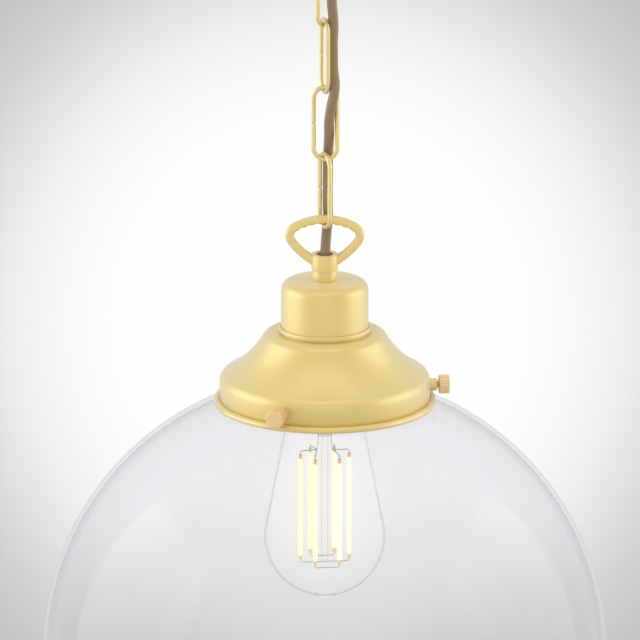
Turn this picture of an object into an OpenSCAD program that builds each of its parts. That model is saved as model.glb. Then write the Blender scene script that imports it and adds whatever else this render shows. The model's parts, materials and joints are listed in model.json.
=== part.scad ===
// Clear glass globe pendant hung on a short brass chain with a laced flex.
// Origin at the middle of the ceiling bracket, on the ceiling; the light hangs down -Z.
// Millimetres, +Z up, X to the right of the usual view, Y away from it.

/* [Ceiling rose] */
// Outer radius of the rose's skirt
rose_r = 50; // [44:1:70]
// Height of the rose from the ceiling to its flat face
rose_h = 39.6; // [34:0.2:60]
// Height of the straight skirt
rose_skirt_h = 8; // [7:0.5:12]
// Radius of the corner above the skirt
rose_corner_r = 6; // [3:0.5:8]
// Radius of the hollow flare
rose_flare_r = 45; // [36:1:80]
// Radius of the shoulder round the flat face
rose_shoulder_r = 5; // [3:0.5:7]
// Radius of the flat face
rose_face_r = 17; // [14:0.5:22]
// Thickness of the spun sheet
rose_wall = 1; // [0.8:0.1:1.6]

/* [Ceiling bracket] */
// Width of the steel strap
strap_w = 30; // [26:1:40]
// Thickness of the steel strap
strap_t = 2; // [1.5:0.25:3]
// Depth of the turned-down ears
ear_h = 8; // [7:0.5:10]
// Width of the ears
ear_w = 16; // [12:1:20]
// Distance between the ceiling screw slots
slot_spacing = 51; // [45:1:60]
// Width of each slot
slot_w = 4.5; // [4:0.25:5]
// End-to-end length of each slot
slot_l = 9; // [6:0.5:12]
// Radius of the hole for the supply cable
cable_hole_r = 5.5; // [4:0.5:6]

/* [Rose screws] */
// Thread radius of the side screws
side_screw_r = 2; // [1.5:0.25:2.5]
// Head radius of the side screws
side_head_r = 3.6; // [3:0.1:4.5]
// Head height of the side screws
side_head_h = 2.4; // [1.8:0.1:3]

/* [Terminal block] */
// Length of the three-way block
block_l = 30; // [27:1:34]
// Width of the block
block_w = 11; // [9:0.5:12]
// Height of the block
block_h = 11; // [9:0.5:12]
// Pitch of its three ways
way_pitch = 10; // [9:0.5:11]
// Radius of each way's wire hole
way_hole_r = 1.7; // [1.4:0.1:2]

/* [Loop casting] */
// Overall width of the loop
loop_w = 42; // [36:1:50]
// Height of the loop above its collar's foot
loop_h = 29.8; // [28:0.2:36]
// Radius of the loop's crown
loop_crown_r = 34.6; // [28:0.2:44]
// Radius of the loop's two corners
loop_corner_r = 7.5; // [6:0.25:9]
// Radius of the bowed arms
loop_arm_r = 37; // [34:0.5:50]
// Height where the arms' outer edge meets the collar
loop_foot_h = 3.2; // [2.8:0.1:4]
// Width of the loop's bar, seen from the front
bar_w = 4.6; // [3.6:0.1:5.4]
// Depth of the loop's bar, front to back
bar_d = 4.4; // [3.6:0.1:5.4]
// Rounding of the bar's edges
bar_round = 1.6; // [1:0.1:1.7]
// Radius of the loop's collar
collar_r = 7.15; // [6.5:0.05:8.5]
// Height of the loop's collar
collar_h = 8.7; // [7.5:0.1:11]
// Radius of the mouth that the flex enters
mouth_r = 4.4; // [4:0.1:5]
// Number of scallops under the crown
scallops = 7; // [3:2:9]
// Distance between scallops
scallop_pitch = 4.2; // [3.6:0.1:5]
// Depth of each scallop
scallop_depth = 0.7; // [0.4:0.05:1]
// Radius of each scallop
scallop_r = 1.8; // [1.4:0.1:2.4]

/* [Neck ring and nipple] */
// Radius of the ring under the collar
ring_r = 6.65; // [6.2:0.05:8]
// Height of the ring under the collar
ring_h = 5.5; // [4:0.1:8]
// Thread radius of the hollow nipple
nipple_r = 5; // [4.5:0.1:5.2]
// Bore radius of the hollow nipple
nipple_bore_r = 4; // [3.5:0.1:4.2]
// How far the nipple screws into the collar
nipple_in = 3; // [2:0.25:4]
// Across-flats size of the lock nuts
nut_af = 14; // [12:0.5:17]
// Thickness of the lock nuts
nut_h = 3; // [2.5:0.25:4]
// How far the nipple stands out past its lock nut
nipple_out = 4; // [3:0.5:6]
// Outer radius of the washer and the earth tag
washer_r = 9; // [8:0.25:10]
// Thickness of the washer
washer_t = 0.6; // [0.4:0.1:1]

/* [Chain] */
// Overall length of a link
link_l = 42.2; // [38:0.1:50]
// Overall width of a link
link_w = 15; // [13:0.1:18]
// Diameter of the chain wire
wire_d = 2.5; // [1.8:0.1:2.7]
// Width of the open seam in each link
seam_gap = 0.3; // [0.2:0.05:0.5]
// Turn of link 1, the lowest, about the vertical
link_1_turn = -65; // [-90:1:-60]
// Turn of link 2
link_2_turn = 0; // [-10:1:10]
// Turn of link 3
link_3_turn = -75; // [-90:1:-60]
// Turn of link 4
link_4_turn = 53; // [45:1:60]
// How far link 2 hangs to the right of the axis
link_2_shift = 0.3; // [0:0.1:0.4]
// How far link 3 hangs to the left of the axis
link_3_shift = 0.1; // [0:0.1:0.2]
// Turn of the upper loop
upper_loop_turn = 143; // [135:1:150]

/* [Flex] */
// Diameter of the round flex
flex_d = 5.3; // [5:0.1:5.4]
// Diameter of each core inside it
core_d = 2; // [1.6:0.1:2.2]
// Outer radius of the cord grips
grip_r = 7; // [5.5:0.25:8]
// Height of the cord grips
grip_h = 5.5; // [4:0.25:7]

/* [Lampholder cover] */
// Radius of the cover at its foot
cover_r = 23.3; // [22.5:0.1:26]
// How much narrower the cover is at the top
cover_taper = 0.2; // [0:0.05:0.5]
// Height of the cover
cover_h = 28.7; // [27:0.1:36]
// Radius of the cover's rounded top edge
cover_edge_r = 5; // [3:0.25:7]
// Rise of the cover's top towards its middle
cover_dome = 0.8; // [0:0.1:1.5]
// Thickness of the cover's sheet
cover_wall = 1; // [0.8:0.1:1.4]
// Radius of the ring round the cover's foot
foot_ring_r = 24.8; // [24.2:0.1:28]
// Height of the ring round the cover's foot
foot_ring_h = 3.4; // [2.5:0.1:5]

/* [Gallery] */
// Room between the glass lip and the inside of the gallery's band
lip_room = 1.6; // [1.2:0.1:3]
// Height of the gallery above the middle of its bead
gallery_h = 38; // [36:0.5:46]
// Height of the straight band
band_h = 11; // [10:0.25:13]
// Radius of the corner above the band
band_corner_r = 5; // [3:0.25:7]
// Radius of the hollow flare
flare_r = 52; // [44:1:90]
// Radius of the shoulder
shoulder_r = 5; // [3:0.25:7]
// Radius of the flat top
flat_top_r = 28.5; // [27:0.25:32]
// Thickness of the spun sheet
gallery_wall = 1; // [0.8:0.1:1.4]
// Radius of the rolled bead's wire
bead_r = 1.75; // [1.4:0.05:2]
// How far the bead stands out from the band
bead_out = 3.2; // [2.6:0.1:3.4]

/* [Gallery screws] */
// Direction of the first screw about the vertical
screw_turn = 6; // [0:1:20]
// Height of the screws above the middle of the bead
screw_z = 6.8; // [5.5:0.1:7.5]
// Thread radius of the screws
screw_r = 1.95; // [1.7:0.05:2.2]
// Radius of the fixed bushes
bush_r = 3.35; // [3:0.05:3.8]
// How far the bushes stand out from the band
bush_out = 3.9; // [3:0.1:6]
// Radius of the knurled heads
head_r = 5; // [4.4:0.1:5.2]
// Thickness of the knurled heads
head_l = 5.5; // [4:0.1:8]
// Gap between bush and head when the screw is tight
head_gap = 1.1; // [0.6:0.1:2]
// Number of knurls round a head
knurls = 24; // [16:1:32]
// Depth of the knurls
knurl_depth = 0.3; // [0.2:0.05:0.4]
// Length of the soft cap on the screw's end
tip_l = 4; // [3:0.25:4.5]
// Radius of the screw's end inside its soft cap
tip_pin_r = 1.2; // [1:0.05:1.3]
// Wall of the soft cap's closed end
tip_end = 1; // [0.6:0.1:1.4]

/* [Glass globe] */
// Outer radius of the globe
globe_r = 150; // [140:1:170]
// Thickness of the glass
glass_t = 2.5; // [2:0.1:3]
// Outer radius of the neck
neck_r = 49.5; // [48.5:0.1:56]
// Radius of the fillet between globe and neck
neck_fillet_r = 4; // [3.5:0.1:4.2]
// How far the neck's lip stands out
lip_out = 3.7; // [3:0.1:4]
// Height of the neck's lip
lip_h = 3.5; // [2.5:0.1:4]

/* [Lampholder] */
// Height of the porcelain body's mouth above the bead
body_mouth_z = 8; // [6:0.5:9]
// Height of the porcelain body's rim above the bead
body_top_z = 48; // [47:0.5:49]
// Outer radius of the body's threaded skirt
body_r = 18.7; // [18:0.1:19]
// Radius of the bore that takes the screw shell
body_bore_r = 14; // [13.9:0.05:14.5]
// Height of the flange that sits on the gallery
flange_h = 4.5; // [3:0.25:6]
// Outer radius of the body above its flange
body_upper_r = 17; // [16.5:0.25:18]
// Radius of the wiring space in the body
wiring_r = 14.5; // [13.5:0.25:15]
// Thickness of the web between lamp and wiring space
web_t = 5; // [4:0.25:5.5]
// Wall of the brass screw shell
shell_t = 0.4; // [0.3:0.05:0.5]
// Length of the brass screw shell
shell_l = 22.5; // [20:0.5:23]
// Outer radius of the shade ring
shade_ring_r = 25.5; // [23:0.25:26.5]
// Thickness of the shade ring
shade_ring_h = 5; // [4:0.25:6]
// Radius of the centre contact
contact_r = 3.2; // [2.5:0.1:4]
// Thickness of the centre contact
contact_t = 0.8; // [0.5:0.1:1]
// Side of the square terminals
terminal_w = 6; // [5:0.25:7]
// Height of the terminals
terminal_h = 5; // [4:0.25:5.5]
// Distance of the terminals from the middle
terminal_x = 8; // [7.5:0.25:9]

/* [Lamp] */
// Overall length of the lamp, cap included
lamp_l = 143; // [140:0.5:150]
// Largest radius of the lamp's envelope
lamp_r = 32.2; // [30:0.1:36]
// Half angle of the envelope's taper
lamp_taper = 11; // [9:0.5:12]
// Radius of the curve that draws the envelope in to its neck
lamp_shoulder_r = 18; // [14:0.5:20]
// Radius of the envelope's neck, next to the cap
lamp_neck_r = 14; // [13.5:0.1:15]
// Height of the sealed pip under the envelope
pip_h = 4.4; // [3:0.1:5]
// Radius of the pip
pip_r = 4.7; // [3.4:0.1:5]
// Thickness of the envelope's glass
lamp_glass_t = 0.8; // [0.6:0.05:1]
// Thread radius of the lamp's cap
cap_r = 13.05; // [12.9:0.05:13.15]
// Depth of the cap's thread
cap_thread = 0.8; // [0.5:0.1:1]
// Pitch of the cap's thread
cap_pitch = 3.6; // [3.2:0.1:4]
// Length of the cap's metal shell
cap_l = 23; // [22:0.25:24]
// Radius of the filaments' circle
filament_ring_r = 13; // [11:0.25:15]
// Radius of each light-emitting filament
filament_r = 1.15; // [0.8:0.05:1.4]
// Length of the glass stem below the cap
stem_l = 23; // [20:0.5:26]
// Distance from the cap down to the filaments' upper ends
filament_drop = 33.25; // [30:0.25:38]
// Length of the filaments
filament_l = 58.5; // [50:0.5:60]
// Direction of the first filament about the vertical
filament_turn = 7; // [0:1:20]
// Radius of the support wires
support_r = 0.3; // [0.2:0.05:0.4]

/* [Fits] */
// Gap between crossing links
link_gap = 0.25; // [0.2:0.05:0.4]
// Radial clearance of running fits
run_gap = 0.05; // [0.03:0.01:0.08]
// Gap between a seated piece and its seat
seat_gap = 0.3; // [0.2:0.05:0.4]
// Clearance of plain holes round what passes through
hole_gap = 0.3; // [0.2:0.05:0.5]

/* [Hidden] */
$fn = 96;

// Colours
BRASS = [0.87, 0.75, 0.47];
SCREW_BRASS = [0.85, 0.64, 0.32];
STEEL = [0.72, 0.73, 0.75];
FLEX = [0.55, 0.45, 0.37];
GLASS = [0.9, 0.92, 0.96, 0.3];
PORCELAIN = [0.93, 0.92, 0.88];
NYLON = [0.9, 0.9, 0.9];

// Heights, from the ceiling down
rose_face_z = -rose_h;
upper_foot_z = rose_face_z - ring_h;
upper_crown_z = upper_foot_z - loop_h;
wire_r = wire_d / 2;
hang = wire_r + link_gap;
link_step = link_l - 2 * wire_d - link_gap;
link_4_top_z = upper_crown_z + bar_w + hang;
link_3_top_z = link_4_top_z - link_step;
link_2_top_z = link_3_top_z - link_step;
link_1_top_z = link_2_top_z - link_step;
link_1_low_z = link_1_top_z - (link_l - wire_d);
lower_crown_z = link_1_low_z + hang + bar_w;
lower_foot_z = lower_crown_z - loop_h;
cover_top_z = lower_foot_z - ring_h;
gallery_top_z = cover_top_z - cover_h;
bead_z = gallery_top_z - gallery_h;

// Loop casting, in its own upright plane with the collar's foot at zero
crown_c = [0, loop_h - loop_crown_r];
corner_dx = loop_w / 2 - loop_corner_r;
corner_c = [-corner_dx, crown_c.y + sqrt(pow(loop_crown_r - loop_corner_r, 2) - pow(corner_dx, 2))];
foot_p = [-collar_r, loop_foot_h];
arm_c = meeting(corner_c, loop_arm_r - loop_corner_r, foot_p, loop_arm_r, 1);
corner_a0 = angle_of(corner_c - crown_c);
corner_a1 = angle_of(corner_c - arm_c);
arm_a1 = angle_of(foot_p - arm_c);
collar_wall = collar_r - mouth_r;
nut_r = nut_af / 2 / cos(30);

// Gallery, made to go over the neck's lip
lip_r = neck_r + lip_out;
gallery_in_r = lip_r + lip_room;
gallery_r = gallery_in_r + gallery_wall;
bead_c_r = gallery_r + bead_out - bead_r;
screw_seat_r = neck_r + seat_gap;
bush_end_r = gallery_r + bush_out;
head_in_r = bush_end_r + head_gap;
head_out_r = head_in_r + head_l;
bush_bore_r = screw_r + run_gap;
lip_z = bead_z + screw_z + screw_r + seat_gap;
globe_z = bead_z - bead_r - seat_gap - sqrt(pow(globe_r, 2) - pow(bead_c_r, 2));

// Cover and lampholder
cover_in_r = cover_r - cover_wall;
body_hole_r = body_r + hole_gap;
flange_r = cover_in_r - 2 * run_gap;
web_low_z = bead_z + gallery_h - gallery_wall - web_t;
web_top_z = web_low_z + web_t;
shell_r = body_bore_r - run_gap;
contact_z = web_low_z - contact_t - seat_gap / 2;
tag_t = 0.5;
tag_l = washer_r + 4;
tag_z = cover_top_z - cover_wall - washer_t - tag_t;
nut_low_z = tag_z - nut_h;
lower_nipple_z = nut_low_z - nipple_out;
upper_nut_z = rose_face_z + rose_wall;
upper_nipple_z = upper_nut_z + nut_h + nipple_out;

// Lamp
lamp_top_z = contact_z - seat_gap;
lamp_low_z = lamp_top_z - lamp_l;
lamp_c_z = lamp_low_z + pip_h + lamp_r;
button_h = 1;
insulator_h = 3;
cap_top_z = lamp_top_z - button_h - insulator_h;
cap_low_z = cap_top_z - cap_l;
cap_in_r = cap_r - cap_thread - 0.6;
sleeve_l = 3;
stem_z = cap_low_z - stem_l;
glass_rod_r = 1.8;
rod_out = 0.3;
// Drop of the links under the filaments, clear of the rod's end
link_drop = 1.6;
// Three filaments hang on each side's lead
filaments = 6;
filament_top_z = cap_low_z - filament_drop;
filament_low_z = filament_top_z - filament_l;

// Route of the flex from the upper nipple to the lower one, chosen along the chain
flex_r = flex_d / 2;
core_x = 1.4;
core_y = 1.6;
ROUTE = [
    [0, 0, -39.6], [0, 0, -47], [1.3, 0.5, -54], [4.6, 1.5, -63], [6.9, 2.0, -72],
    [6.2, 1.2, -80], [4.6, 0, -88], [3.7, -0.8, -95], [4.2, -0.9, -102], [4.6, -1.0, -109],
    [4.3, -1.2, -117], [4.3, -1.2, -125], [4.5, -1.5, -133], [5.25, -3.2, -139.5], [5.1, -4.2, -144],
    [3.7, -3.8, -151], [2.8, -2.3, -157], [2.3, -0.5, -162], [2.3, 1.7, -169], [2.0, 4.3, -176],
    [1.7, 6.3, -182.5], [1.7, 6.4, -190], [1.6, 6.1, -199], [1.6, 6.2, -208], [1.7, 6.7, -216.5],
    [1.1, 5.2, -222.5], [0.5, 2.4, -229], [0.2, 0.7, -235], [0, 0, -241], [0, 0, -248.4]
];
FLEX_SIDES = 12;
// Route points where one stretch hands over to the next, at the middle of each link
HAND_OVER = [0, 6, 11, 17, 22, 29];

// Flat geometry
function angle_of(v) = let (a = atan2(v.y, v.x)) a < 0 ? a + 360 : a;
function polar(c, r, a) = c + r * [cos(a), sin(a)];
function arc(c, r, a0, a1, n) = [for (i = [0:n]) polar(c, r, a0 + (a1 - a0) * i / n)];
// Where a circle round a meets a circle round b, on the side that the sign picks
function meeting(a, ra, b, rb, side) =
    let (
        d = norm(b - a),
        u = (b - a) / d,
        along = (d * d + ra * ra - rb * rb) / (2 * d),
        up = sqrt(ra * ra - along * along)
    ) a + along * u + side * up * [-u.y, u.x];

// Outline of a spun ogee from its flat top to its foot, drawn in by an inset
function ogee(band_r, band, corner_r, hollow_r, top_r, shoulder, height, inset, hole) =
    let (
        c1 = [top_r, height - shoulder],
        c2 = [band_r - corner_r, band],
        c = meeting(c1, hollow_r + shoulder, c2, hollow_r + corner_r, 1),
        a1 = angle_of(c - c1),
        a2 = angle_of(c - c2)
    ) concat(
        [[hole, height - inset]],
        arc(c1, shoulder - inset, 90, a1, 8),
        arc(c, hollow_r + inset, a1 + 180, a2 + 180, 14),
        arc(c2, corner_r - inset, a2, 0, 8),
        [[band_r - inset, 0]]
    );
function reversed(list) = [for (i = [len(list) - 1:-1:0]) list[i]];

// Rounded rectangle, as the section of a bar
function rounded(w, d, r) = concat(
    arc([w / 2 - r, d / 2 - r], r, 0, 90, 5),
    arc([-w / 2 + r, d / 2 - r], r, 90, 180, 5),
    arc([-w / 2 + r, -d / 2 + r], r, 180, 270, 5),
    arc([w / 2 - r, -d / 2 + r], r, 270, 360, 5)
);

// Swept tubes
function unit(v) = v / norm(v);
function heading(path, i) = unit(path[min(i + 1, len(path) - 1)] - path[max(i - 1, 0)]);
function tube_ring(path, i, r, sides, ref) =
    let (
        t = heading(path, i),
        n = unit(ref - (ref * t) * t),
        b = cross(t, n)
    ) [for (k = [0:sides - 1]) path[i] + r * (cos(360 * k / sides) * n + sin(360 * k / sides) * b)];

// Tube from one point of a path to another, its sides lined up by a direction across the path
module tube(path, r, sides, first, last, ref = [1, 0, 0]) {
    rings = [for (i = [first:last]) each tube_ring(path, i, r, sides, ref)];
    count = last - first + 1;
    polyhedron(
        points = rings,
        faces = concat(
            [[for (k = [0:sides - 1]) k]],
            [[for (k = [0:sides - 1]) (count - 1) * sides + sides - 1 - k]],
            [for (i = [0:count - 2], k = [0:sides - 1])
                let (a = i * sides + k, b = i * sides + (k + 1) % sides) [a, a + sides, b + sides, b]]
        )
    );
}

module wire(path, ref) {
    tube(path, support_r, 6, 0, len(path) - 1, ref);
}

module washer(r_out, r_in, h) {
    difference() {
        cylinder(r = r_out, h = h);
        translate([0, 0, -1]) cylinder(r = r_in, h = h + 2);
    }
}

module hex_nut(h) {
    difference() {
        cylinder(r = nut_r, h = h, $fn = 6);
        translate([0, 0, -1]) cylinder(r = nipple_r + run_gap, h = h + 2);
    }
}

// Spun sheet with a flat top and a hollow flare, foot at zero
module spun_ogee(band_r, band, corner_r, hollow_r, top_r, shoulder, height, wall, hole) {
    rotate_extrude()
        polygon(concat(
            ogee(band_r, band, corner_r, hollow_r, top_r, shoulder, height, 0, hole),
            reversed(ogee(band_r, band, corner_r, hollow_r, top_r, shoulder, height, wall, hole))
        ));
}

// Stretch of the loop's bar along one arc of its outline
module bar_arc(c, r, a0, a1) {
    translate([c.x, 0, c.y])
        rotate([90, 0, 0])
            rotate([0, 0, a0])
                rotate_extrude(angle = a1 - a0)
                    translate([r - bar_w / 2, 0]) polygon(rounded(bar_w, bar_d, bar_round));
}

module half_loop() {
    // The arm runs on into the collar's wall
    sink = (collar_wall / 2) / loop_arm_r * 180 / PI;
    bar_arc(crown_c, loop_crown_r, 90, corner_a0);
    bar_arc(corner_c, loop_corner_r, corner_a0, corner_a1);
    bar_arc(arm_c, loop_arm_r, corner_a1, arm_a1 + sink);
}

module loop_casting() {
    under_r = loop_crown_r - bar_w;
    difference() {
        union() {
            half_loop();
            mirror([1, 0, 0]) half_loop();
            cylinder(r = collar_r, h = collar_h);
        }
        translate([0, 0, -1]) cylinder(r = mouth_r, h = collar_h + 2);
        translate([0, 0, -1]) cylinder(r = nipple_r + run_gap, h = nipple_in + 1 + seat_gap);
        // Scallops that keep the chain in the middle
        for (i = [0:scallops - 1]) {
            a = 90 + (i - (scallops - 1) / 2) * scallop_pitch / under_r * 180 / PI;
            p = polar(crown_c, under_r - scallop_r + scallop_depth, a);
            translate([p.x, bar_d, p.y]) rotate([90, 0, 0]) cylinder(r = scallop_r, h = 2 * bar_d);
        }
    }
}

// Chain link in the XZ plane, its top crown's middle at zero
module chain_link() {
    bend_r = (link_w - wire_d) / 2;
    side_l = link_l - link_w;
    for (side = [0, 1]) {
        translate([0, 0, -bend_r - side * side_l])
            rotate([90, side * 180, 0])
                rotate_extrude(angle = 180) translate([bend_r, 0]) circle(r = wire_r, $fn = 32);
    }
    translate([bend_r, 0, -bend_r - side_l]) cylinder(r = wire_r, h = side_l, $fn = 32);
    for (part = [0, 1]) {
        translate([-bend_r, 0, -bend_r - side_l + part * (side_l + seam_gap) / 2])
            cylinder(r = wire_r, h = (side_l - seam_gap) / 2, $fn = 32);
    }
}

module placed_link(top_z, turn, shift = 0) {
    color(BRASS) translate([shift, 0, top_z]) rotate([0, 0, turn]) chain_link();
}

module nipple(z0, z1) {
    color(BRASS)
        translate([0, 0, z0])
            difference() {
                cylinder(r = nipple_r, h = z1 - z0);
                translate([0, 0, -1]) cylinder(r = nipple_bore_r, h = z1 - z0 + 2);
            }
}

module grip(z0) {
    color(NYLON)
        translate([0, 0, z0])
            difference() {
                cylinder(r = grip_r, h = grip_h);
                translate([0, 0, -1]) cylinder(r = flex_r + run_gap, h = grip_h + 2);
                // Flat for the clamping screw
                translate([grip_r - 1.5, -grip_r, -1]) cube([3, 2 * grip_r, grip_h + 2]);
            }
}

// Cores that leave the flex and go to their terminals
module core(from, to, rise) {
    bend = [
        from,
        from + [0, 0, rise * 0.35],
        from + (to - from) * 0.35 + [0, 0, rise * 0.3],
        to - [0, 0, rise * 0.35] - (to - from) * 0.2,
        to - [0, 0, rise * 0.2],
        to
    ];
    tube(bend, core_d / 2, 8, 0, len(bend) - 1, [0, 1, 0]);
}

// Ceiling end
module ceiling_bracket() {
    ear_x = rose_r - rose_wall - hole_gap;
    color(STEEL)
        difference() {
            union() {
                intersection() {
                    translate([-ear_x + strap_t, -strap_w / 2, -strap_t])
                        cube([2 * (ear_x - strap_t), strap_w, strap_t]);
                    translate([0, 0, -strap_t]) cylinder(r = ear_x, h = strap_t);
                }
                for (s = [-1, 1]) {
                    intersection() {
                        translate([s * (ear_x - strap_t / 2) - strap_t, -ear_w / 2, -ear_h])
                            cube([2 * strap_t, ear_w, ear_h]);
                        difference() {
                            translate([0, 0, -ear_h]) cylinder(r = ear_x, h = ear_h);
                            translate([0, 0, -ear_h - 1]) cylinder(r = ear_x - strap_t, h = ear_h + 2);
                        }
                    }
                }
                // Web that joins the strap's ends to the curved ears
                intersection() {
                    translate([-ear_x, -ear_w / 2, -strap_t]) cube([2 * ear_x, ear_w, strap_t]);
                    translate([0, 0, -strap_t]) cylinder(r = ear_x - strap_t / 2, h = strap_t);
                }
            }
            for (s = [-1, 1]) {
                slot_run = (slot_l - slot_w) / 2;
                for (e = [-1, 1]) {
                    translate([s * slot_spacing / 2 + e * slot_run, 0, -strap_t - 1])
                        cylinder(r = slot_w / 2, h = strap_t + 2);
                }
                translate([s * slot_spacing / 2 - slot_run, -slot_w / 2, -strap_t - 1])
                    cube([2 * slot_run, slot_w, strap_t + 2]);
            }
            translate([0, -strap_w / 2 + cable_hole_r + 3, -strap_t - 1])
                cylinder(r = cable_hole_r, h = strap_t + 2);
            // Threads for the side screws
            translate([-rose_r, 0, -rose_skirt_h / 2])
                rotate([0, 90, 0])
                    cylinder(r = side_screw_r + run_gap, h = 2 * rose_r);
        }
}

module ceiling_rose() {
    color(BRASS)
        difference() {
            mirror([0, 0, 1])
                spun_ogee(rose_r, rose_skirt_h, rose_corner_r, rose_flare_r, rose_face_r,
                    rose_shoulder_r, rose_h, rose_wall, nipple_r + hole_gap);
            translate([-rose_r - 1, 0, -rose_skirt_h / 2])
                rotate([0, 90, 0])
                    cylinder(r = side_screw_r + hole_gap, h = 2 * rose_r + 2);
        }
}

module rose_screws() {
    shank_l = rose_wall + hole_gap + 2 * strap_t;
    color(SCREW_BRASS)
        for (s = [0, 180]) {
            rotate([0, 0, s])
                translate([rose_r - shank_l + hole_gap, 0, -rose_skirt_h / 2])
                    rotate([0, 90, 0]) {
                        cylinder(r = side_screw_r, h = shank_l);
                        translate([0, 0, shank_l]) cylinder(r = side_head_r, h = side_head_h);
                    }
        }
}

module terminal_block() {
    block_y = strap_w / 2 - block_w - 1;
    color(NYLON)
        difference() {
            translate([-block_l / 2, block_y, -strap_t - block_h]) cube([block_l, block_w, block_h]);
            for (i = [-1:1]) {
                translate([i * way_pitch, block_y - 1, -strap_t - block_h / 2])
                    rotate([-90, 0, 0])
                        cylinder(r = way_hole_r, h = block_w + 2);
                for (f = [0.25, 0.75]) {
                    translate([i * way_pitch, block_y + f * block_w, -strap_t - block_h - 1])
                        cylinder(r = way_hole_r + run_gap, h = block_h / 2 + 1);
                }
            }
        }
}

module terminal_screws() {
    block_y = strap_w / 2 - block_w - 1;
    color(STEEL)
        for (i = [-1:1], f = [0.25, 0.75]) {
            translate([i * way_pitch, block_y + f * block_w, -strap_t - block_h + 0.5])
                difference() {
                    cylinder(r = way_hole_r, h = block_h / 2 - 0.5 - core_d / 2 - run_gap);
                    translate([-way_hole_r - 1, -0.3, -1]) cube([2 * way_hole_r + 2, 0.6, 1.8]);
                }
        }
}

module upper_loop() {
    color(BRASS)
        translate([0, 0, upper_foot_z])
            rotate([0, 0, upper_loop_turn])
                mirror([0, 0, 1])
                    loop_casting();
}

module neck_ring(z0) {
    color(BRASS) translate([0, 0, z0]) washer(ring_r, nipple_r + run_gap, ring_h);
}

module upper_ring() {
    neck_ring(rose_face_z - ring_h);
}

module upper_nipple() {
    nipple(upper_foot_z - nipple_in, upper_nipple_z);
}

module upper_nut() {
    color(BRASS) translate([0, 0, upper_nut_z]) hex_nut(nut_h);
}

module upper_grip() {
    grip(upper_nipple_z + seat_gap);
}

upper_tail_z = upper_nipple_z + seat_gap + grip_h + 1.5;
way_z = -strap_t - block_h / 2;

module upper_core(x, side_x, side_y) {
    color(FLEX)
        core([side_x, side_y, upper_tail_z], [x, strap_w / 2 - block_w - 1 - 2, way_z], way_z - upper_tail_z);
}

module core_end(x) {
    translate([x, strap_w / 2 - block_w - 3, way_z])
        rotate([-90, 0, 0])
            cylinder(r = core_d / 2, h = 2 + block_w / 2, $fn = 16);
}

module upper_live() {
    color([0.45, 0.25, 0.15]) {
        upper_core(-way_pitch, -core_x, 0);
        core_end(-way_pitch);
    }
}

module upper_neutral() {
    color([0.15, 0.3, 0.65]) {
        upper_core(way_pitch, core_x, 0);
        core_end(way_pitch);
    }
}

module upper_earth() {
    color([0.35, 0.6, 0.2]) {
        upper_core(0, 0, core_y);
        core_end(0);
    }
}

module upper_tail() {
    color(FLEX) translate([0, 0, ROUTE[0].z]) cylinder(r = flex_r, h = upper_tail_z - ROUTE[0].z, $fn = 48);
}

// Chain and flex
module link_1() {
    placed_link(link_1_top_z, link_1_turn);
}

module link_2() {
    placed_link(link_2_top_z, link_2_turn, link_2_shift);
}

module link_3() {
    placed_link(link_3_top_z, link_3_turn, -link_3_shift);
}

module link_4() {
    placed_link(link_4_top_z, link_4_turn);
}

module flex_stretch(k) {
    color(FLEX) tube(ROUTE, flex_r, FLEX_SIDES, HAND_OVER[k - 1], HAND_OVER[k]);
}

// Neck of the light
module lower_loop() {
    color(BRASS) translate([0, 0, lower_foot_z]) loop_casting();
}

module lower_ring() {
    neck_ring(cover_top_z);
}

module lower_nipple() {
    nipple(lower_nipple_z, lower_foot_z + nipple_in);
}

module lower_nut() {
    color(BRASS) translate([0, 0, nut_low_z]) hex_nut(nut_h);
}

module lower_washer() {
    color(STEEL) translate([0, 0, tag_z + tag_t]) washer(washer_r, nipple_r + hole_gap, washer_t);
}

module earth_tag() {
    color(BRASS)
        translate([0, 0, tag_z])
            difference() {
                union() {
                    cylinder(r = washer_r, h = tag_t);
                    translate([0, -2, 0]) cube([tag_l, 4, tag_t]);
                }
                translate([0, 0, -1]) cylinder(r = nipple_r + hole_gap, h = tag_t + 2);
            }
}

module lower_grip() {
    grip(lower_nipple_z - seat_gap - grip_h);
}

lower_tail_z = lower_nipple_z - seat_gap - grip_h - 1.5;
terminal_z = web_top_z + terminal_h;

module lower_tail() {
    color(FLEX)
        translate([0, 0, lower_tail_z])
            cylinder(r = flex_r, h = ROUTE[len(ROUTE) - 1].z - lower_tail_z, $fn = 48);
}

module lower_live() {
    color([0.45, 0.25, 0.15])
        core([-core_x, 0, lower_tail_z], [-terminal_x, 0, terminal_z], terminal_z - lower_tail_z);
}

module lower_neutral() {
    color([0.15, 0.3, 0.65])
        core([core_x, 0, lower_tail_z], [terminal_x, 0, terminal_z], terminal_z - lower_tail_z);
}

module lower_earth() {
    end_x = tag_l - 2;
    color([0.35, 0.6, 0.2])
        tube([
            [0, core_y, lower_tail_z],
            [0, core_y, lower_tail_z - 0.8],
            [0.8, core_y + 1.4, lower_tail_z - 2.8],
            [3, core_y + 2.8, lower_tail_z - 3.6],
            [6, core_y + 3.4, lower_tail_z - 2.8],
            [end_x - 1.6, core_y + 2.6, lower_tail_z + 0.4],
            [end_x - 0.2, core_y + 0.8, lower_tail_z + 4.4],
            [end_x, 0, tag_z - 3],
            [end_x, 0, tag_z]
        ], core_d / 2, 8, 0, 8, [0, 1, 0]);
}

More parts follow.
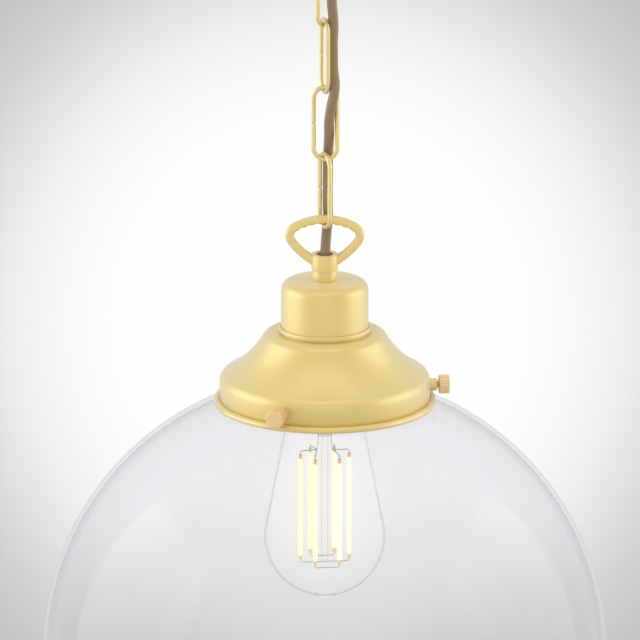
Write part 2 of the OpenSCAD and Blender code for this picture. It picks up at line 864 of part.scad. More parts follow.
module holder_cover() {
    top_r = cover_r - cover_taper;
    edge_c = [top_r - cover_edge_r, cover_h - cover_dome - cover_edge_r];
    inner_edge = cover_edge_r - cover_wall;
    color(BRASS)
        translate([0, 0, gallery_top_z])
            rotate_extrude()
                polygon(concat(
                    [[nipple_r + hole_gap, cover_h], [ring_r + 1, cover_h]],
                    reversed(arc(edge_c, cover_edge_r, 0, 90, 10)),
                    [[cover_r, 0], [cover_in_r, 0]],
                    arc(edge_c, inner_edge, 0, 90, 10),
                    [[washer_r + 0.5, cover_h - cover_wall], [nipple_r + hole_gap, cover_h - cover_wall]]
                ));
}

module foot_ring() {
    soft = 0.6;
    color(BRASS)
        translate([0, 0, gallery_top_z])
            rotate_extrude()
                polygon(concat(
                    [[cover_r + run_gap, 0]],
                    arc([foot_ring_r - soft, soft], soft, 270, 360, 4),
                    arc([foot_ring_r - soft, foot_ring_h - soft], soft, 0, 90, 4),
                    [[cover_r + run_gap, foot_ring_h]]
                ));
}

module gallery() {
    color(BRASS)
        difference() {
            translate([0, 0, bead_z])
                union() {
                    spun_ogee(gallery_r, band_h, band_corner_r, flare_r, flat_top_r,
                        shoulder_r, gallery_h, gallery_wall, body_hole_r);
                    rotate_extrude() translate([bead_c_r, 0]) circle(r = bead_r, $fn = 32);
                }
            for (k = [0:2]) {
                at_screw(k) cylinder(r = bush_r - 0.6, h = gallery_r + 2);
            }
        }
}

// Places a piece on a screw's axis, with its Z along the axis, outwards
module at_screw(k) {
    translate([0, 0, bead_z + screw_z]) rotate([0, 90, screw_turn + 120 * k]) children();
}

module screw_bushes() {
    spigot_r = bush_r - 0.6 - run_gap;
    flat = gallery_r - sqrt(pow(gallery_r, 2) - pow(bush_r, 2));
    color(BRASS)
        for (k = [0:2]) {
            at_screw(k)
                difference() {
                    union() {
                        difference() {
                            translate([0, 0, gallery_r - 2 * flat])
                                cylinder(r = bush_r, h = bush_end_r - gallery_r + 2 * flat);
                            // Foot saddled to the round band
                            rotate([0, -90, 0])
                                translate([0, 0, -2 * bush_r])
                                    cylinder(r = gallery_r + 2 * run_gap, h = 4 * bush_r, $fn = 192);
                        }
                        translate([0, 0, gallery_in_r]) cylinder(r = spigot_r, h = bush_out);
                    }
                    translate([0, 0, gallery_in_r - 1]) cylinder(r = bush_bore_r, h = bush_out + 4);
                }
        }
}

module thumb_screw(k) {
    chamfer = 0.6;
    color(SCREW_BRASS)
        at_screw(k)
            difference() {
                union() {
                    translate([0, 0, screw_seat_r + tip_end])
                        cylinder(r = tip_pin_r, h = tip_l - tip_end + 1);
                    translate([0, 0, screw_seat_r + tip_l + run_gap])
                        cylinder(r = screw_r, h = head_in_r - screw_seat_r - tip_l);
                    translate([0, 0, head_in_r])
                        rotate_extrude()
                            polygon([
                                [0, 0], [head_r - chamfer, 0], [head_r, chamfer],
                                [head_r, head_l - chamfer], [head_r - chamfer, head_l], [0, head_l]
                            ]);
                }
                for (i = [0:knurls - 1]) {
                    rotate([0, 0, i * 360 / knurls])
                        translate([head_r + knurl_depth, 0, head_in_r - 1])
                            cylinder(r = 2 * knurl_depth, h = head_l + 2, $fn = 16);
                }
            }
}

module screw_tip(k) {
    color(NYLON)
        at_screw(k)
            translate([0, 0, screw_seat_r])
                difference() {
                    cylinder(r = screw_r, h = tip_l);
                    translate([0, 0, tip_end - run_gap]) cylinder(r = tip_pin_r + run_gap, h = tip_l);
                }
}

module glass_globe() {
    fillet_c = [
        neck_r + neck_fillet_r,
        globe_z + sqrt(pow(globe_r + neck_fillet_r, 2) - pow(neck_r + neck_fillet_r, 2))
    ];
    centre = [0, globe_z];
    join_a = angle_of(fillet_c - centre);
    lip_half = lip_h / 2;
    lip_c = [lip_r - lip_half, lip_z + lip_half];
    color(GLASS)
        rotate_extrude($fn = 180)
            polygon(concat(
                arc(centre, globe_r, 270, 360 + join_a, 90),
                arc(fillet_c, neck_fillet_r, join_a + 180, 180, 8),
                [[neck_r, lip_z]],
                arc(lip_c, lip_half, 270, 450, 10),
                [[neck_r - glass_t, lip_z + lip_h]],
                arc(fillet_c, neck_fillet_r + glass_t, 180, join_a + 180, 8),
                arc(centre, globe_r - glass_t, 360 + join_a, 270, 90)
            ));
}

// Lampholder
module holder_body() {
    color(PORCELAIN)
        difference() {
            union() {
                translate([0, 0, bead_z + body_mouth_z]) cylinder(r = body_r, h = gallery_h - body_mouth_z);
                translate([0, 0, gallery_top_z]) cylinder(r = flange_r, h = flange_h);
                translate([0, 0, gallery_top_z]) cylinder(r = body_upper_r, h = body_top_z - gallery_h);
            }
            translate([0, 0, bead_z]) cylinder(r = body_bore_r, h = web_low_z - bead_z);
            translate([0, 0, web_top_z]) cylinder(r = wiring_r, h = body_top_z);
            translate([0, 0, web_low_z - 1]) cylinder(r = contact_r / 2 + run_gap, h = web_t + 2);
        }
}

module holder_shell() {
    color(SCREW_BRASS) translate([0, 0, web_low_z - shell_l]) washer(shell_r, shell_r - shell_t, shell_l);
}

module holder_contact() {
    color(SCREW_BRASS) {
        translate([0, 0, contact_z]) cylinder(r = contact_r, h = contact_t);
        translate([0, 0, contact_z]) cylinder(r = contact_r / 2, h = web_top_z - contact_z + 1);
    }
}

module holder_terminals() {
    color(SCREW_BRASS)
        for (s = [-1, 1]) {
            difference() {
                translate([s * terminal_x - terminal_w / 2, -terminal_w / 2, web_top_z])
                    cube([terminal_w, terminal_w, terminal_h]);
                // Screw hole from outside
                translate([s * terminal_x, 0, web_top_z + terminal_h / 2])
                    rotate([0, 90 * s, 0])
                        cylinder(r = 1.2 + run_gap, h = terminal_w);
            }
        }
}

module holder_screws() {
    color(STEEL)
        for (s = [-1, 1]) {
            translate([s * terminal_x, 0, web_top_z + terminal_h / 2])
                rotate([0, 90 * s, 0])
                    difference() {
                        union() {
                            translate([0, 0, 0.2]) cylinder(r = 1.2, h = terminal_w / 2);
                            translate([0, 0, terminal_w / 2]) cylinder(r = 2, h = 1.2);
                        }
                        translate([-3, -0.3, terminal_w / 2 + 0.6]) cube([6, 0.6, 2]);
                    }
        }
}

module shade_ring() {
    color(PORCELAIN)
        translate([0, 0, gallery_top_z - gallery_wall - shade_ring_h])
            washer(shade_ring_r, body_r + run_gap, shade_ring_h);
}

// Lamp
module lamp_cap() {
    turns = floor((cap_l - 2) / cap_pitch);
    steps = 8;
    thread = [for (i = [0:turns * steps])
        [cap_r - cap_thread / 2 * (1 - cos(360 * i / steps)), cap_low_z + 2 + i * cap_pitch / steps]];
    color(SCREW_BRASS)
        rotate_extrude()
            polygon(concat(
                [[cap_in_r, cap_low_z], [cap_r, cap_low_z]],
                thread,
                [[cap_r - 3, cap_top_z], [cap_r - 4, cap_top_z], [cap_in_r, cap_top_z - 1.5]]
            ));
}

module lamp_insulator() {
    color([0.12, 0.12, 0.13])
        translate([0, 0, cap_top_z - 1])
            rotate_extrude()
                polygon([[0, 0], [cap_r - 4, 1], [4.8, insulator_h + 1], [0, insulator_h + 1]]);
}

module lamp_contact() {
    color(STEEL)
        translate([0, 0, lamp_top_z - button_h])
            rotate_extrude()
                polygon([[0, 0], [4.6, 0], [4.2, button_h * 0.7], [2.5, button_h], [0, button_h]]);
}

module lamp_glass() {
    sleeve_r = cap_in_r - run_gap;
    centre = [0, lamp_c_z];
    neck = [lamp_neck_r, cap_low_z - seat_gap];
    // The neck's curve runs through its end and touches the straight taper
    side_n = [cos(lamp_taper), sin(lamp_taper)];
    side_gap = lamp_r - lamp_shoulder_r - side_n * (neck - centre);
    down = sqrt(pow(lamp_shoulder_r, 2) - pow(side_gap, 2));
    curve_c = neck + side_gap * side_n + down * [side_n.y, -side_n.x];
    neck_a = angle_of(neck - curve_c);
    neck_in = polar(curve_c, lamp_shoulder_r - lamp_glass_t, neck_a);
    color(GLASS)
        rotate_extrude($fn = 120)
            polygon(concat(
                arc([0, lamp_low_z + pip_r], pip_r, 270, 345, 6),
                [[pip_r + 0.4, lamp_low_z + pip_h - 0.2]],
                arc(centre, lamp_r, 280, 360 + lamp_taper, 30),
                arc(curve_c, lamp_shoulder_r, lamp_taper, neck_a, 10),
                [[sleeve_r, neck.y], [sleeve_r, cap_low_z + sleeve_l]],
                [[sleeve_r - lamp_glass_t, cap_low_z + sleeve_l], [sleeve_r - lamp_glass_t, neck_in.y]],
                arc(curve_c, lamp_shoulder_r - lamp_glass_t, neck_a, lamp_taper, 10),
                arc(centre, lamp_r - lamp_glass_t, 360 + lamp_taper, 279, 30),
                arc([0, lamp_low_z + pip_r], pip_r - lamp_glass_t, 345, 270, 6)
            ));
}

module lamp_stem() {
    flare_out_r = cap_in_r - lamp_glass_t - 2 * run_gap;
    color(GLASS) {
        rotate_extrude($fn = 48)
            polygon([
                [0, cap_low_z + sleeve_l], [flare_out_r, cap_low_z + sleeve_l], [7, cap_low_z - 1],
                [5, cap_low_z - 8], [4.4, stem_z + 0.8], [3.9, stem_z], [0, stem_z]
            ]);
        translate([0, 0, filament_low_z - rod_out])
            cylinder(r = glass_rod_r, h = stem_z + 1 - filament_low_z + rod_out, $fn = 32);
    }
}

function filament_at(i, z) =
    let (a = filament_turn + 360 * i / filaments)
        [filament_ring_r * cos(a), filament_ring_r * sin(a), z];

module lamp_wires() {
    top = filament_top_z;
    low = filament_low_z;
    post_x = 4.3;
    color(STEEL) {
        // A lead on each side branches to the filaments on that side
        for (side = [-1, 1]) {
            wire([
                [side * 3.4, 0, stem_z - run_gap],
                [side * 3.6, 0, top + 5],
                [side * post_x, 0, top + 1.7]
            ], [0, 1, 0]);
        }
        for (i = [0:filaments - 1]) {
            p = filament_at(i, top);
            post = [p.x < 0 ? -post_x : post_x, 0, top + 2];
            out = p - post;
            wire([
                post,
                post + [out.x * 0.92, out.y * 0.92, -0.3],
                p + [0, 0, 1],
                p + [0, 0, run_gap]
            ], unit([-out.y, out.x, 0]));
        }
        // Links join the lower ends in pairs, one from each side
        for (i = [0, 1, 5]) {
            p = filament_at(i, low);
            q = filament_at((9 - i) % filaments, low);
            wire([
                p - [0, 0, run_gap],
                p - [0, 0, 0.8],
                p + (q - p) * 0.06 - [0, 0, link_drop],
                q + (p - q) * 0.06 - [0, 0, link_drop],
                q - [0, 0, 0.8],
                q - [0, 0, run_gap]
            ], unit(cross([0, 0, 1], q - p)));
        }
    }
}

module lamp_filaments() {
    color([1, 0.93, 0.6])
        for (i = [0:filaments - 1]) {
            translate(filament_at(i, filament_low_z)) cylinder(r = filament_r, h = filament_l, $fn = 24);
        }
}

ceiling_bracket();
ceiling_rose();
rose_screws();
terminal_block();
terminal_screws();
upper_loop();
upper_ring();
upper_nipple();
upper_nut();
upper_grip();
upper_live();
upper_neutral();
upper_earth();
upper_tail();
link_1();
link_2();
link_3();
link_4();
flex_stretch(1);  // flex_1
flex_stretch(2);  // flex_2
flex_stretch(3);  // flex_3
flex_stretch(4);  // flex_4
flex_stretch(5);  // flex_5
lower_loop();
lower_ring();
lower_nipple();
lower_nut();
lower_washer();
earth_tag();
lower_grip();
lower_tail();
lower_live();
lower_neutral();
lower_earth();
holder_cover();
foot_ring();
gallery();
screw_bushes();
glass_globe();
holder_body();
holder_shell();
holder_contact();
holder_terminals();
holder_screws();
shade_ring();
thumb_screw(0);  // thumb_screw_1
thumb_screw(1);  // thumb_screw_2
thumb_screw(2);  // thumb_screw_3
screw_tip(0);  // screw_tip_1
screw_tip(1);  // screw_tip_2
screw_tip(2);  // screw_tip_3
lamp_cap();
lamp_insulator();
lamp_contact();
lamp_glass();
lamp_stem();
lamp_wires();
lamp_filaments();
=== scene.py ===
"""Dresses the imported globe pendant: its visible pieces as detailed meshes, each with its own finish."""

import json
import logging
import math
from dataclasses import dataclass, field
from enum import Enum
from typing import Callable, Dict, List, Optional, Sequence, Tuple, Union

import bmesh
import bpy
import numpy as np
from mathutils import Matrix, Vector

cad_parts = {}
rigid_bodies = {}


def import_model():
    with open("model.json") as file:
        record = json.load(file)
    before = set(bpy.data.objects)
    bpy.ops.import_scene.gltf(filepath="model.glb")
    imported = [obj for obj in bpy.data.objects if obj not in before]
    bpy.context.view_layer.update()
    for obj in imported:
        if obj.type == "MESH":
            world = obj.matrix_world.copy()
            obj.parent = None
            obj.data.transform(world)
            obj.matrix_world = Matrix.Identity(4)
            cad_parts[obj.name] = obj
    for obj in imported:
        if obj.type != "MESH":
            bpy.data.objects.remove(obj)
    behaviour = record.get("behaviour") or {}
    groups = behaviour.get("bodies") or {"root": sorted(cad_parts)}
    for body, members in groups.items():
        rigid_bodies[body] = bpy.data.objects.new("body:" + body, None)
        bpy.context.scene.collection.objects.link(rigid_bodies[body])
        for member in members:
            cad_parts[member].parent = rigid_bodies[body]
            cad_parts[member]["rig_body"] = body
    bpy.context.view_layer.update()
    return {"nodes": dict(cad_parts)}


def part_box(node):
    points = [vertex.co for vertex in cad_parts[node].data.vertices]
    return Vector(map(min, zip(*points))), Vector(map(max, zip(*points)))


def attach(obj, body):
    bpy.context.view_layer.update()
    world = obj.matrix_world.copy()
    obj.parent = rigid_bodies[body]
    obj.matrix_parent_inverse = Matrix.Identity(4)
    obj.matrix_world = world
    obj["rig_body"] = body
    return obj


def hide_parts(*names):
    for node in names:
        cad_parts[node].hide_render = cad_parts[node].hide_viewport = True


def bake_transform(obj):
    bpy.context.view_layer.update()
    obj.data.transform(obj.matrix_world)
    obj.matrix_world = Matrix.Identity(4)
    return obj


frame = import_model()

LOG = logging.getLogger("pendant")
MM = 0.001
TURN = 2 * math.pi

Colour = Tuple[float, float, float]
Point = Tuple[float, ...]
Outline = List[Tuple[float, float]]


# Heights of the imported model, in millimetres

def foot_of(node: str) -> float:
    """Lowest height of a CAD node, in millimetres."""
    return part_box(node)[0].z / MM


def head_of(node: str) -> float:
    """Highest height of a CAD node, in millimetres."""
    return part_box(node)[1].z / MM


# Forms: points in millimetres and the faces between them

@dataclass
class Form:
    """A surface as points in millimetres and faces that index them."""

    points: np.ndarray
    faces: List[Tuple[int, ...]]

    def placed(self, matrix: Matrix) -> "Form":
        """The form moved by a matrix in millimetres."""
        m = np.array(matrix)
        return Form(self.points @ m[:3, :3].T + m[:3, 3], self.faces)

    def lifted(self, height: float) -> "Form":
        """The form moved up by a height in millimetres."""
        return Form(self.points + np.array([0.0, 0.0, height]), self.faces)

    def with_form(self, other: "Form") -> "Form":
        """This form and another as one."""
        shift = len(self.points)
        moved = [tuple(i + shift for i in face) for face in other.faces]
        return Form(np.vstack([self.points, other.points]), self.faces + moved)


def joined(forms: Sequence[Form]) -> Form:
    """Several forms as one."""
    whole = forms[0]
    for form in forms[1:]:
        whole = whole.with_form(form)
    return whole


def arc(centre: Sequence[float], radius: float, start: float, end: float, steps: int) -> Outline:
    """Points along an arc.

    Args:
        centre: Middle of the arc.
        radius: Its radius.
        start: First angle in degrees.
        end: Last angle in degrees.
        steps: Number of chords.

    Returns:
        The points, both ends among them.
    """
    angles = [math.radians(start + (end - start) * i / steps) for i in range(steps + 1)]
    return [(centre[0] + radius * math.cos(a), centre[1] + radius * math.sin(a)) for a in angles]


def angle_of(across: float, up: float) -> float:
    """Angle of a direction in degrees, from 0 to 360."""
    return math.degrees(math.atan2(up, across)) % 360


def softened(corners: Sequence[Tuple[float, float, float]], steps: int = 4) -> Outline:
    """Rounds the corners of a closed outline.

    Args:
        corners: Each corner as (radius, height, rounding).
        steps: Chords in each rounding.

    Returns:
        The outline with an arc at every corner whose rounding isn't zero.
    """
    made: Outline = []
    count = len(corners)
    for i, (x, y, rounding) in enumerate(corners):
        here = np.array([x, y])
        before = np.array(corners[i - 1][:2]) - here
        after = np.array(corners[(i + 1) % count][:2]) - here
        if rounding <= 0:
            made.append((x, y))
            continue
        before = before / np.linalg.norm(before)
        after = after / np.linalg.norm(after)
        half = math.acos(float(np.clip(before @ after, -1, 1))) / 2
        middle = before + after
        centre = here + middle / np.linalg.norm(middle) * rounding / math.sin(half)
        first = here + before * rounding / math.tan(half) - centre
        last = here + after * rounding / math.tan(half) - centre
        start = math.atan2(first[1], first[0])
        swing = (math.atan2(last[1], last[0]) - start + math.pi) % TURN - math.pi
        for step in range(steps + 1):
            a = start + swing * step / steps
            made.append((centre[0] + rounding * math.cos(a), centre[1] + rounding * math.sin(a)))
    return made


Warp = Callable[[np.ndarray, np.ndarray, np.ndarray], np.ndarray]


def lathe(outline: Outline, steps: int = 96, warp: Optional[Warp] = None) -> Form:
    """Turns a closed outline round Z.

    Args:
        outline: Points as (radius, height).
        steps: Divisions round the axis.
        warp: Gives a new radius from the angle, radius and height of each point.

    Returns:
        The turned form.
    """
    rz = np.array(outline, float)
    turn = np.linspace(0, TURN, steps, endpoint=False)[:, None]
    radius = np.repeat(rz[None, :, 0], steps, axis=0)
    height = np.repeat(rz[None, :, 1], steps, axis=0)
    if warp is not None:
        radius = warp(turn, radius, height)
    points = np.stack([radius * np.cos(turn), radius * np.sin(turn), height], axis=2)
    count = len(rz)
    faces = []
    for i in range(steps):
        j = (i + 1) % steps
        for k in range(count):
            m = (k + 1) % count
            faces.append((i * count + k, j * count + k, j * count + m, i * count + m))
    return Form(points.reshape(-1, 3), faces)


def unit(vector: np.ndarray) -> np.ndarray:
    """A vector of length one in the same direction."""
    return vector / np.linalg.norm(vector)


def sweep(path: np.ndarray, section: Outline, side: Point = (0, 1, 0), swell: Optional[Sequence[float]] = None,
          capped: bool = True) -> Form:
    """Carries a section along an open path without twist.

    Args:
        path: Points of the path.
        section: Section's points as (outward, along side).
        side: Direction that the section's second axis starts in.
        swell: Scale of the section at each point of the path.
        capped: Whether the ends are closed.

    Returns:
        The swept form.
    """
    path = np.asarray(path, float)
    heading = np.gradient(path, axis=0)
    heading /= np.linalg.norm(heading, axis=1)[:, None]
    shape = np.array(section, float)
    across = np.array(side, float)
    rings = []
    for i, forward in enumerate(heading):
        across = unit(across - forward * (across @ forward))
        outward = np.cross(across, forward)
        scale = 1.0 if swell is None else swell[i]
        rings.append(path[i] + scale * (shape[:, :1] * outward + shape[:, 1:] * across))
    count = len(shape)
    faces: List[Tuple[int, ...]] = []
    for i in range(len(path) - 1):
        for k in range(count):
            m = (k + 1) % count
            faces.append((i * count + k, i * count + m, (i + 1) * count + m, (i + 1) * count + k))
    if capped:
        last = (len(path) - 1) * count
        faces.append(tuple(range(count)))
        faces.append(tuple(last + k for k in range(count)))
    return Form(np.vstack(rings), faces)


def circle(radius: float, sides: int) -> Outline:
    """A round section."""
    return [(radius * math.cos(TURN * i / sides), radius * math.sin(TURN * i / sides)) for i in range(sides)]


def smooth_path(points: Sequence[Point], steps: int) -> np.ndarray:
    """A smooth curve through points.

    Args:
        points: Points that the curve passes.
        steps: Steps from each point to the next.

    Returns:
        The curve's points, with every given point among them.
    """
    p = np.array(points, float)
    gaps = np.linalg.norm(np.diff(p, axis=0), axis=1)
    slopes = np.diff(p, axis=0) / gaps[:, None]
    tangents = np.vstack([slopes[:1], slopes[-1:]])
    if len(p) > 2:
        before, after = gaps[:-1, None], gaps[1:, None]
        inner = (slopes[:-1] * after + slopes[1:] * before) / (before + after)
        tangents = np.vstack([slopes[:1], inner, slopes[-1:]])
    made = []
    for i, gap in enumerate(gaps):
        for t in np.arange(steps) / steps:
            a, b = 1 + t * t * (2 * t - 3), t * t * (3 - 2 * t)
            c, d = t * (1 - t) ** 2, t * t * (t - 1)
            made.append(a * p[i] + b * p[i + 1] + gap * (c * tangents[i] + d * tangents[i + 1]))
    made.append(p[-1])
    return np.array(made)


def rounded_ends(count: int, soft: int = 3) -> List[float]:
    """Scales that round both ends of a swept wire."""
    scale = [1.0] * count
    for i in range(soft):
        scale[i] = scale[count - 1 - i] = math.sqrt(1 - ((soft - i) / (soft + 0.6)) ** 2)
    return scale


class Cut(Enum):
    """How one closed form works on another."""

    TAKE_AWAY = "DIFFERENCE"
    UNITE = "UNION"
    KEEP_COMMON = "INTERSECT"


def carved(base: Form, tool: Form, cut: Cut) -> Form:
    """Works one closed form with another.

    Args:
        base: Form that is changed.
        tool: Form that changes it.
        cut: How it does so.

    Returns:
        The new form.
    """
    solids = []
    for form in (base, tool):
        mesh = bpy.data.meshes.new("blank")
        mesh.from_pydata(form.points.tolist(), [], form.faces)
        cleaned(mesh, MM)
        solid = bpy.data.objects.new("blank", mesh)
        bpy.context.scene.collection.objects.link(solid)
        solids.append(solid)
    modifier = solids[0].modifiers.new("cut", "BOOLEAN")
    modifier.operation = cut.value
    modifier.object = solids[1]
    modifier.solver = "EXACT"
    shown = solids[0].evaluated_get(bpy.context.evaluated_depsgraph_get())
    mesh = bpy.data.meshes.new_from_object(shown)
    points = np.array([v.co for v in mesh.vertices], float).reshape(-1, 3)
    faces = [tuple(p.vertices) for p in mesh.polygons]
    bpy.data.meshes.remove(mesh)
    for solid in solids:
        blank = solid.data
        bpy.data.objects.remove(solid)
        bpy.data.meshes.remove(blank)
    return Form(points, faces)


def cleaned(mesh: bpy.types.Mesh, reach: float) -> None:
    """Merges points that coincide and turns all faces outwards.

    Args:
        mesh: Mesh that is cleaned.
        reach: Largest distance between points that are merged.
    """
    work = bmesh.new()
    work.from_mesh(mesh)
    bmesh.ops.remove_doubles(work, verts=work.verts, dist=reach)
    bmesh.ops.dissolve_degenerate(work, edges=work.edges, dist=reach / 10)
    bmesh.ops.recalc_face_normals(work, faces=work.faces)
    work.to_mesh(mesh)
    work.free()


# Shader writing

Number = Union[float, "Value"]


class Value:
    """One output socket, with arithmetic that adds Math nodes."""

    def __init__(self, recipe: "Recipe", socket: bpy.types.NodeSocket) -> None:
        """Wraps a socket of a recipe."""
        self.recipe = recipe
        self.socket = socket

    def __add__(self, other: Number) -> "Value":
        """Sum."""
        return self.recipe.math("ADD", self, other)

    __radd__ = __add__

    def __sub__(self, other: Number) -> "Value":
        """Difference."""
        return self.recipe.math("SUBTRACT", self, other)

    def __rsub__(self, other: Number) -> "Value":
        """Difference from a number."""
        return self.recipe.math("SUBTRACT", other, self)

    def __mul__(self, other: Number) -> "Value":
        """Product."""
        return self.recipe.math("MULTIPLY", self, other)

    __rmul__ = __mul__

    def __truediv__(self, other: Number) -> "Value":
        """Quotient."""
        return self.recipe.math("DIVIDE", self, other)

    def over(self, low: Number, high: Number) -> "Value":
        """0 below one value, 1 above another, and smooth between them."""
        return self.recipe.node("ShaderNodeMapRange", {"interpolation_type": "SMOOTHSTEP"},
                                {"Value": self, "From Min": low, "From Max": high})


class Recipe:
    """One material's node tree under construction."""

    def __init__(self, name: str) -> None:
        """Starts an empty material."""
        self.material = bpy.data.materials.new(name)
        self.material.use_nodes = True
        self.tree = self.material.node_tree
        self.tree.nodes.clear()

    def node(self, kind: str, settings: Optional[Dict[str, object]] = None,
             inputs: Optional[Dict[Union[int, str], object]] = None, output: Union[int, str] = 0) -> Value:
        """Adds a node.

        Args:
            kind: The node's type.
            settings: Its own settings, and "stops" for a ramp's colours.
            inputs: Values or links of its sockets, by name or number.
            output: The socket that is wanted.

        Returns:
            The wanted output.
        """
        made = self.tree.nodes.new(kind)
        for key, value in (settings or {}).items():
            if key == "stops":
                self._stops(made.color_ramp, value)
            else:
                setattr(made, key, value)
        for key, value in (inputs or {}).items():
            if isinstance(value, Value):
                self.tree.links.new(value.socket, made.inputs[key])
            else:
                made.inputs[key].default_value = value
        return Value(self, made.outputs[output]) if made.outputs else Value(self, None)

    @staticmethod
    def _stops(ramp: bpy.types.ColorRamp, stops: Sequence[Tuple[float, Colour]]) -> None:
        """Sets a ramp's colours."""
        while len(ramp.elements) < len(stops):
            ramp.elements.new(1.0)
        for element, (place, colour) in zip(ramp.elements, stops):
            element.position = place
            element.color = (*colour, 1.0)

    def math(self, operation: str, first: Number, second: Number) -> Value:
        """One step of arithmetic."""
        return self.node("ShaderNodeMath", {"operation": operation}, {0: first, 1: second})

    def vector(self, operation: str, first: object, second: object = None) -> Value:
        """One step of vector arithmetic, with a number as its result where the step gives one."""
        inputs = {0: first}
        if second is not None:
            inputs["Scale" if operation == "SCALE" else 1] = second
        number = operation in ("DOT_PRODUCT", "LENGTH", "DISTANCE")
        return self.node("ShaderNodeVectorMath", {"operation": operation}, inputs, 1 if number else 0)

    def mix(self, factor: Number, first: object, second: object) -> Value:
        """A colour between two colours."""
        sides = [c if isinstance(c, Value) else (*c, 1.0) for c in (first, second)]
        return self.node("ShaderNodeMix", {"data_type": "RGBA"}, {0: factor, 6: sides[0], 7: sides[1]}, 2)

    def place(self) -> Value:
        """The surface point in the piece's own coordinates, in metres."""
        return self.node("ShaderNodeTexCoord", output="Object")

    def noise(self, at: Value, scale: float, detail: float = 2.0, fourth: Optional[Value] = None) -> Value:
        """Smooth noise from 0 to 1."""
        inputs: Dict[Union[int, str], object] = {"Vector": at, "Scale": scale, "Detail": detail, "Roughness": 0.6}
        if fourth is not None:
            inputs["W"] = fourth
        return self.node("ShaderNodeTexNoise", {"noise_dimensions": "3D" if fourth is None else "4D"}, inputs)

    def bump(self, height: Value, strength: float, depth: float) -> Value:
        """A normal from a height, with its depth in millimetres."""
        return self.node("ShaderNodeBump", None, {"Strength": strength, "Distance": depth * MM, "Height": height})

    def principled(self, **inputs: object) -> Value:
        """The main shader, with socket names written with underscores."""
        named = {key.replace("_", " "): (*value, 1.0) if isinstance(value, tuple) else value
                 for key, value in inputs.items()}
        return self.node("ShaderNodeBsdfPrincipled", None, named)

    def done(self, shader: Value) -> bpy.types.Material:
        """Joins the shader to the output and gives the material."""
        self.node("ShaderNodeOutputMaterial", None, {"Surface": shader})
        return self.material


class Mark(Enum):
    """The marks that working leaves on a metal."""

    TURNED = "fine rings brushed round an axis"
    CAST = "fine pebbled skin of a casting"
    DRAWN = "wire, hammered a little"


@dataclass(frozen=True)
class Metal:
    """A metal with the marks of its making."""

    name: str
    slot: str
    base: Colour
    rough: float
    mark: Mark
    centre: Tuple[float, float, float] = (0, 0, 0)
    axis: Tuple[float, float, float] = (0, 0, 1)
    shift: float = 0.06
    coat: float = 0.0
    brushed: float = 0.0
    bare: float = 1.0
    haze: float = 0.0

    def grain(self, recipe: Recipe) -> Value:
        """The marks as a height from 0 to 1."""
        place = recipe.place()
        if self.mark is Mark.CAST:
            return recipe.noise(place, 900, 3)
        if self.mark is Mark.DRAWN:
            return recipe.noise(place, 1400, 2)
        streak = 2600.0
        off = recipe.vector("SUBTRACT", place, self.centre)
        along = recipe.vector("DOT_PRODUCT", off, self.axis)
        shaft = recipe.vector("SCALE", self.axis, along)
        out = recipe.vector("SUBTRACT", off, shaft)
        radius = recipe.vector("LENGTH", out)
        round_it = recipe.vector("SCALE", recipe.vector("NORMALIZE", out), 2.6)
        at = recipe.vector("ADD", round_it, recipe.vector("SCALE", shaft, streak))
        return recipe.noise(at, 1.0, 3, radius * streak)

    def material(self) -> bpy.types.Material:
        """The finished material."""
        recipe = Recipe(self.name)
        grain = self.grain(recipe)
        tone = recipe.noise(recipe.place(), 45, 2)
        low = tuple(c * (1 - self.shift) for c in self.base)
        high = tuple(min(1.0, c * (1 + self.shift * 0.7)) for c in self.base)
        colour = recipe.mix(grain * 0.6 + tone * 0.4, low, high)
        rough = (grain - 0.5) * 0.16 + (tone - 0.5) * 0.08 + self.rough
        strength, depth = {Mark.TURNED: (0.25, 0.03), Mark.CAST: (0.3, 0.05), Mark.DRAWN: (0.2, 0.015)}[self.mark]
        return recipe.done(recipe.principled(
            Base_Color=colour, Metallic=self.bare, Roughness=rough, Anisotropic=self.brushed,
            Anisotropic_Rotation=0.25, Coat_Weight=self.coat, Coat_Roughness=0.32, Coat_IOR=2.3,
            Sheen_Weight=self.haze, Sheen_Roughness=0.6,
            Normal=recipe.bump(grain, strength, depth)))


@dataclass(frozen=True)
class Plain:
    """A moulded, glazed or extruded non-metal."""

    name: str
    slot: str
    base: Colour
    rough: float
    grain: float = 700.0
    shift: float = 0.05
    relief: float = 0.02
    coat: float = 0.0
    subsurface: float = 0.0

    def material(self) -> bpy.types.Material:
        """The finished material."""
        recipe = Recipe(self.name)
        place = recipe.place()
        fine = recipe.noise(place, self.grain, 3)
        tone = recipe.noise(place, 60, 2)
        low = tuple(c * (1 - self.shift) for c in self.base)
        high = tuple(min(1.0, c * (1 + self.shift)) for c in self.base)
        return recipe.done(recipe.principled(
            Base_Color=recipe.mix(fine * 0.4 + tone * 0.6, low, high),
            Roughness=(fine - 0.5) * 0.12 + self.rough, Coat_Weight=self.coat, Coat_Roughness=0.08,
            Normal=recipe.bump(fine, 0.3, self.relief)))


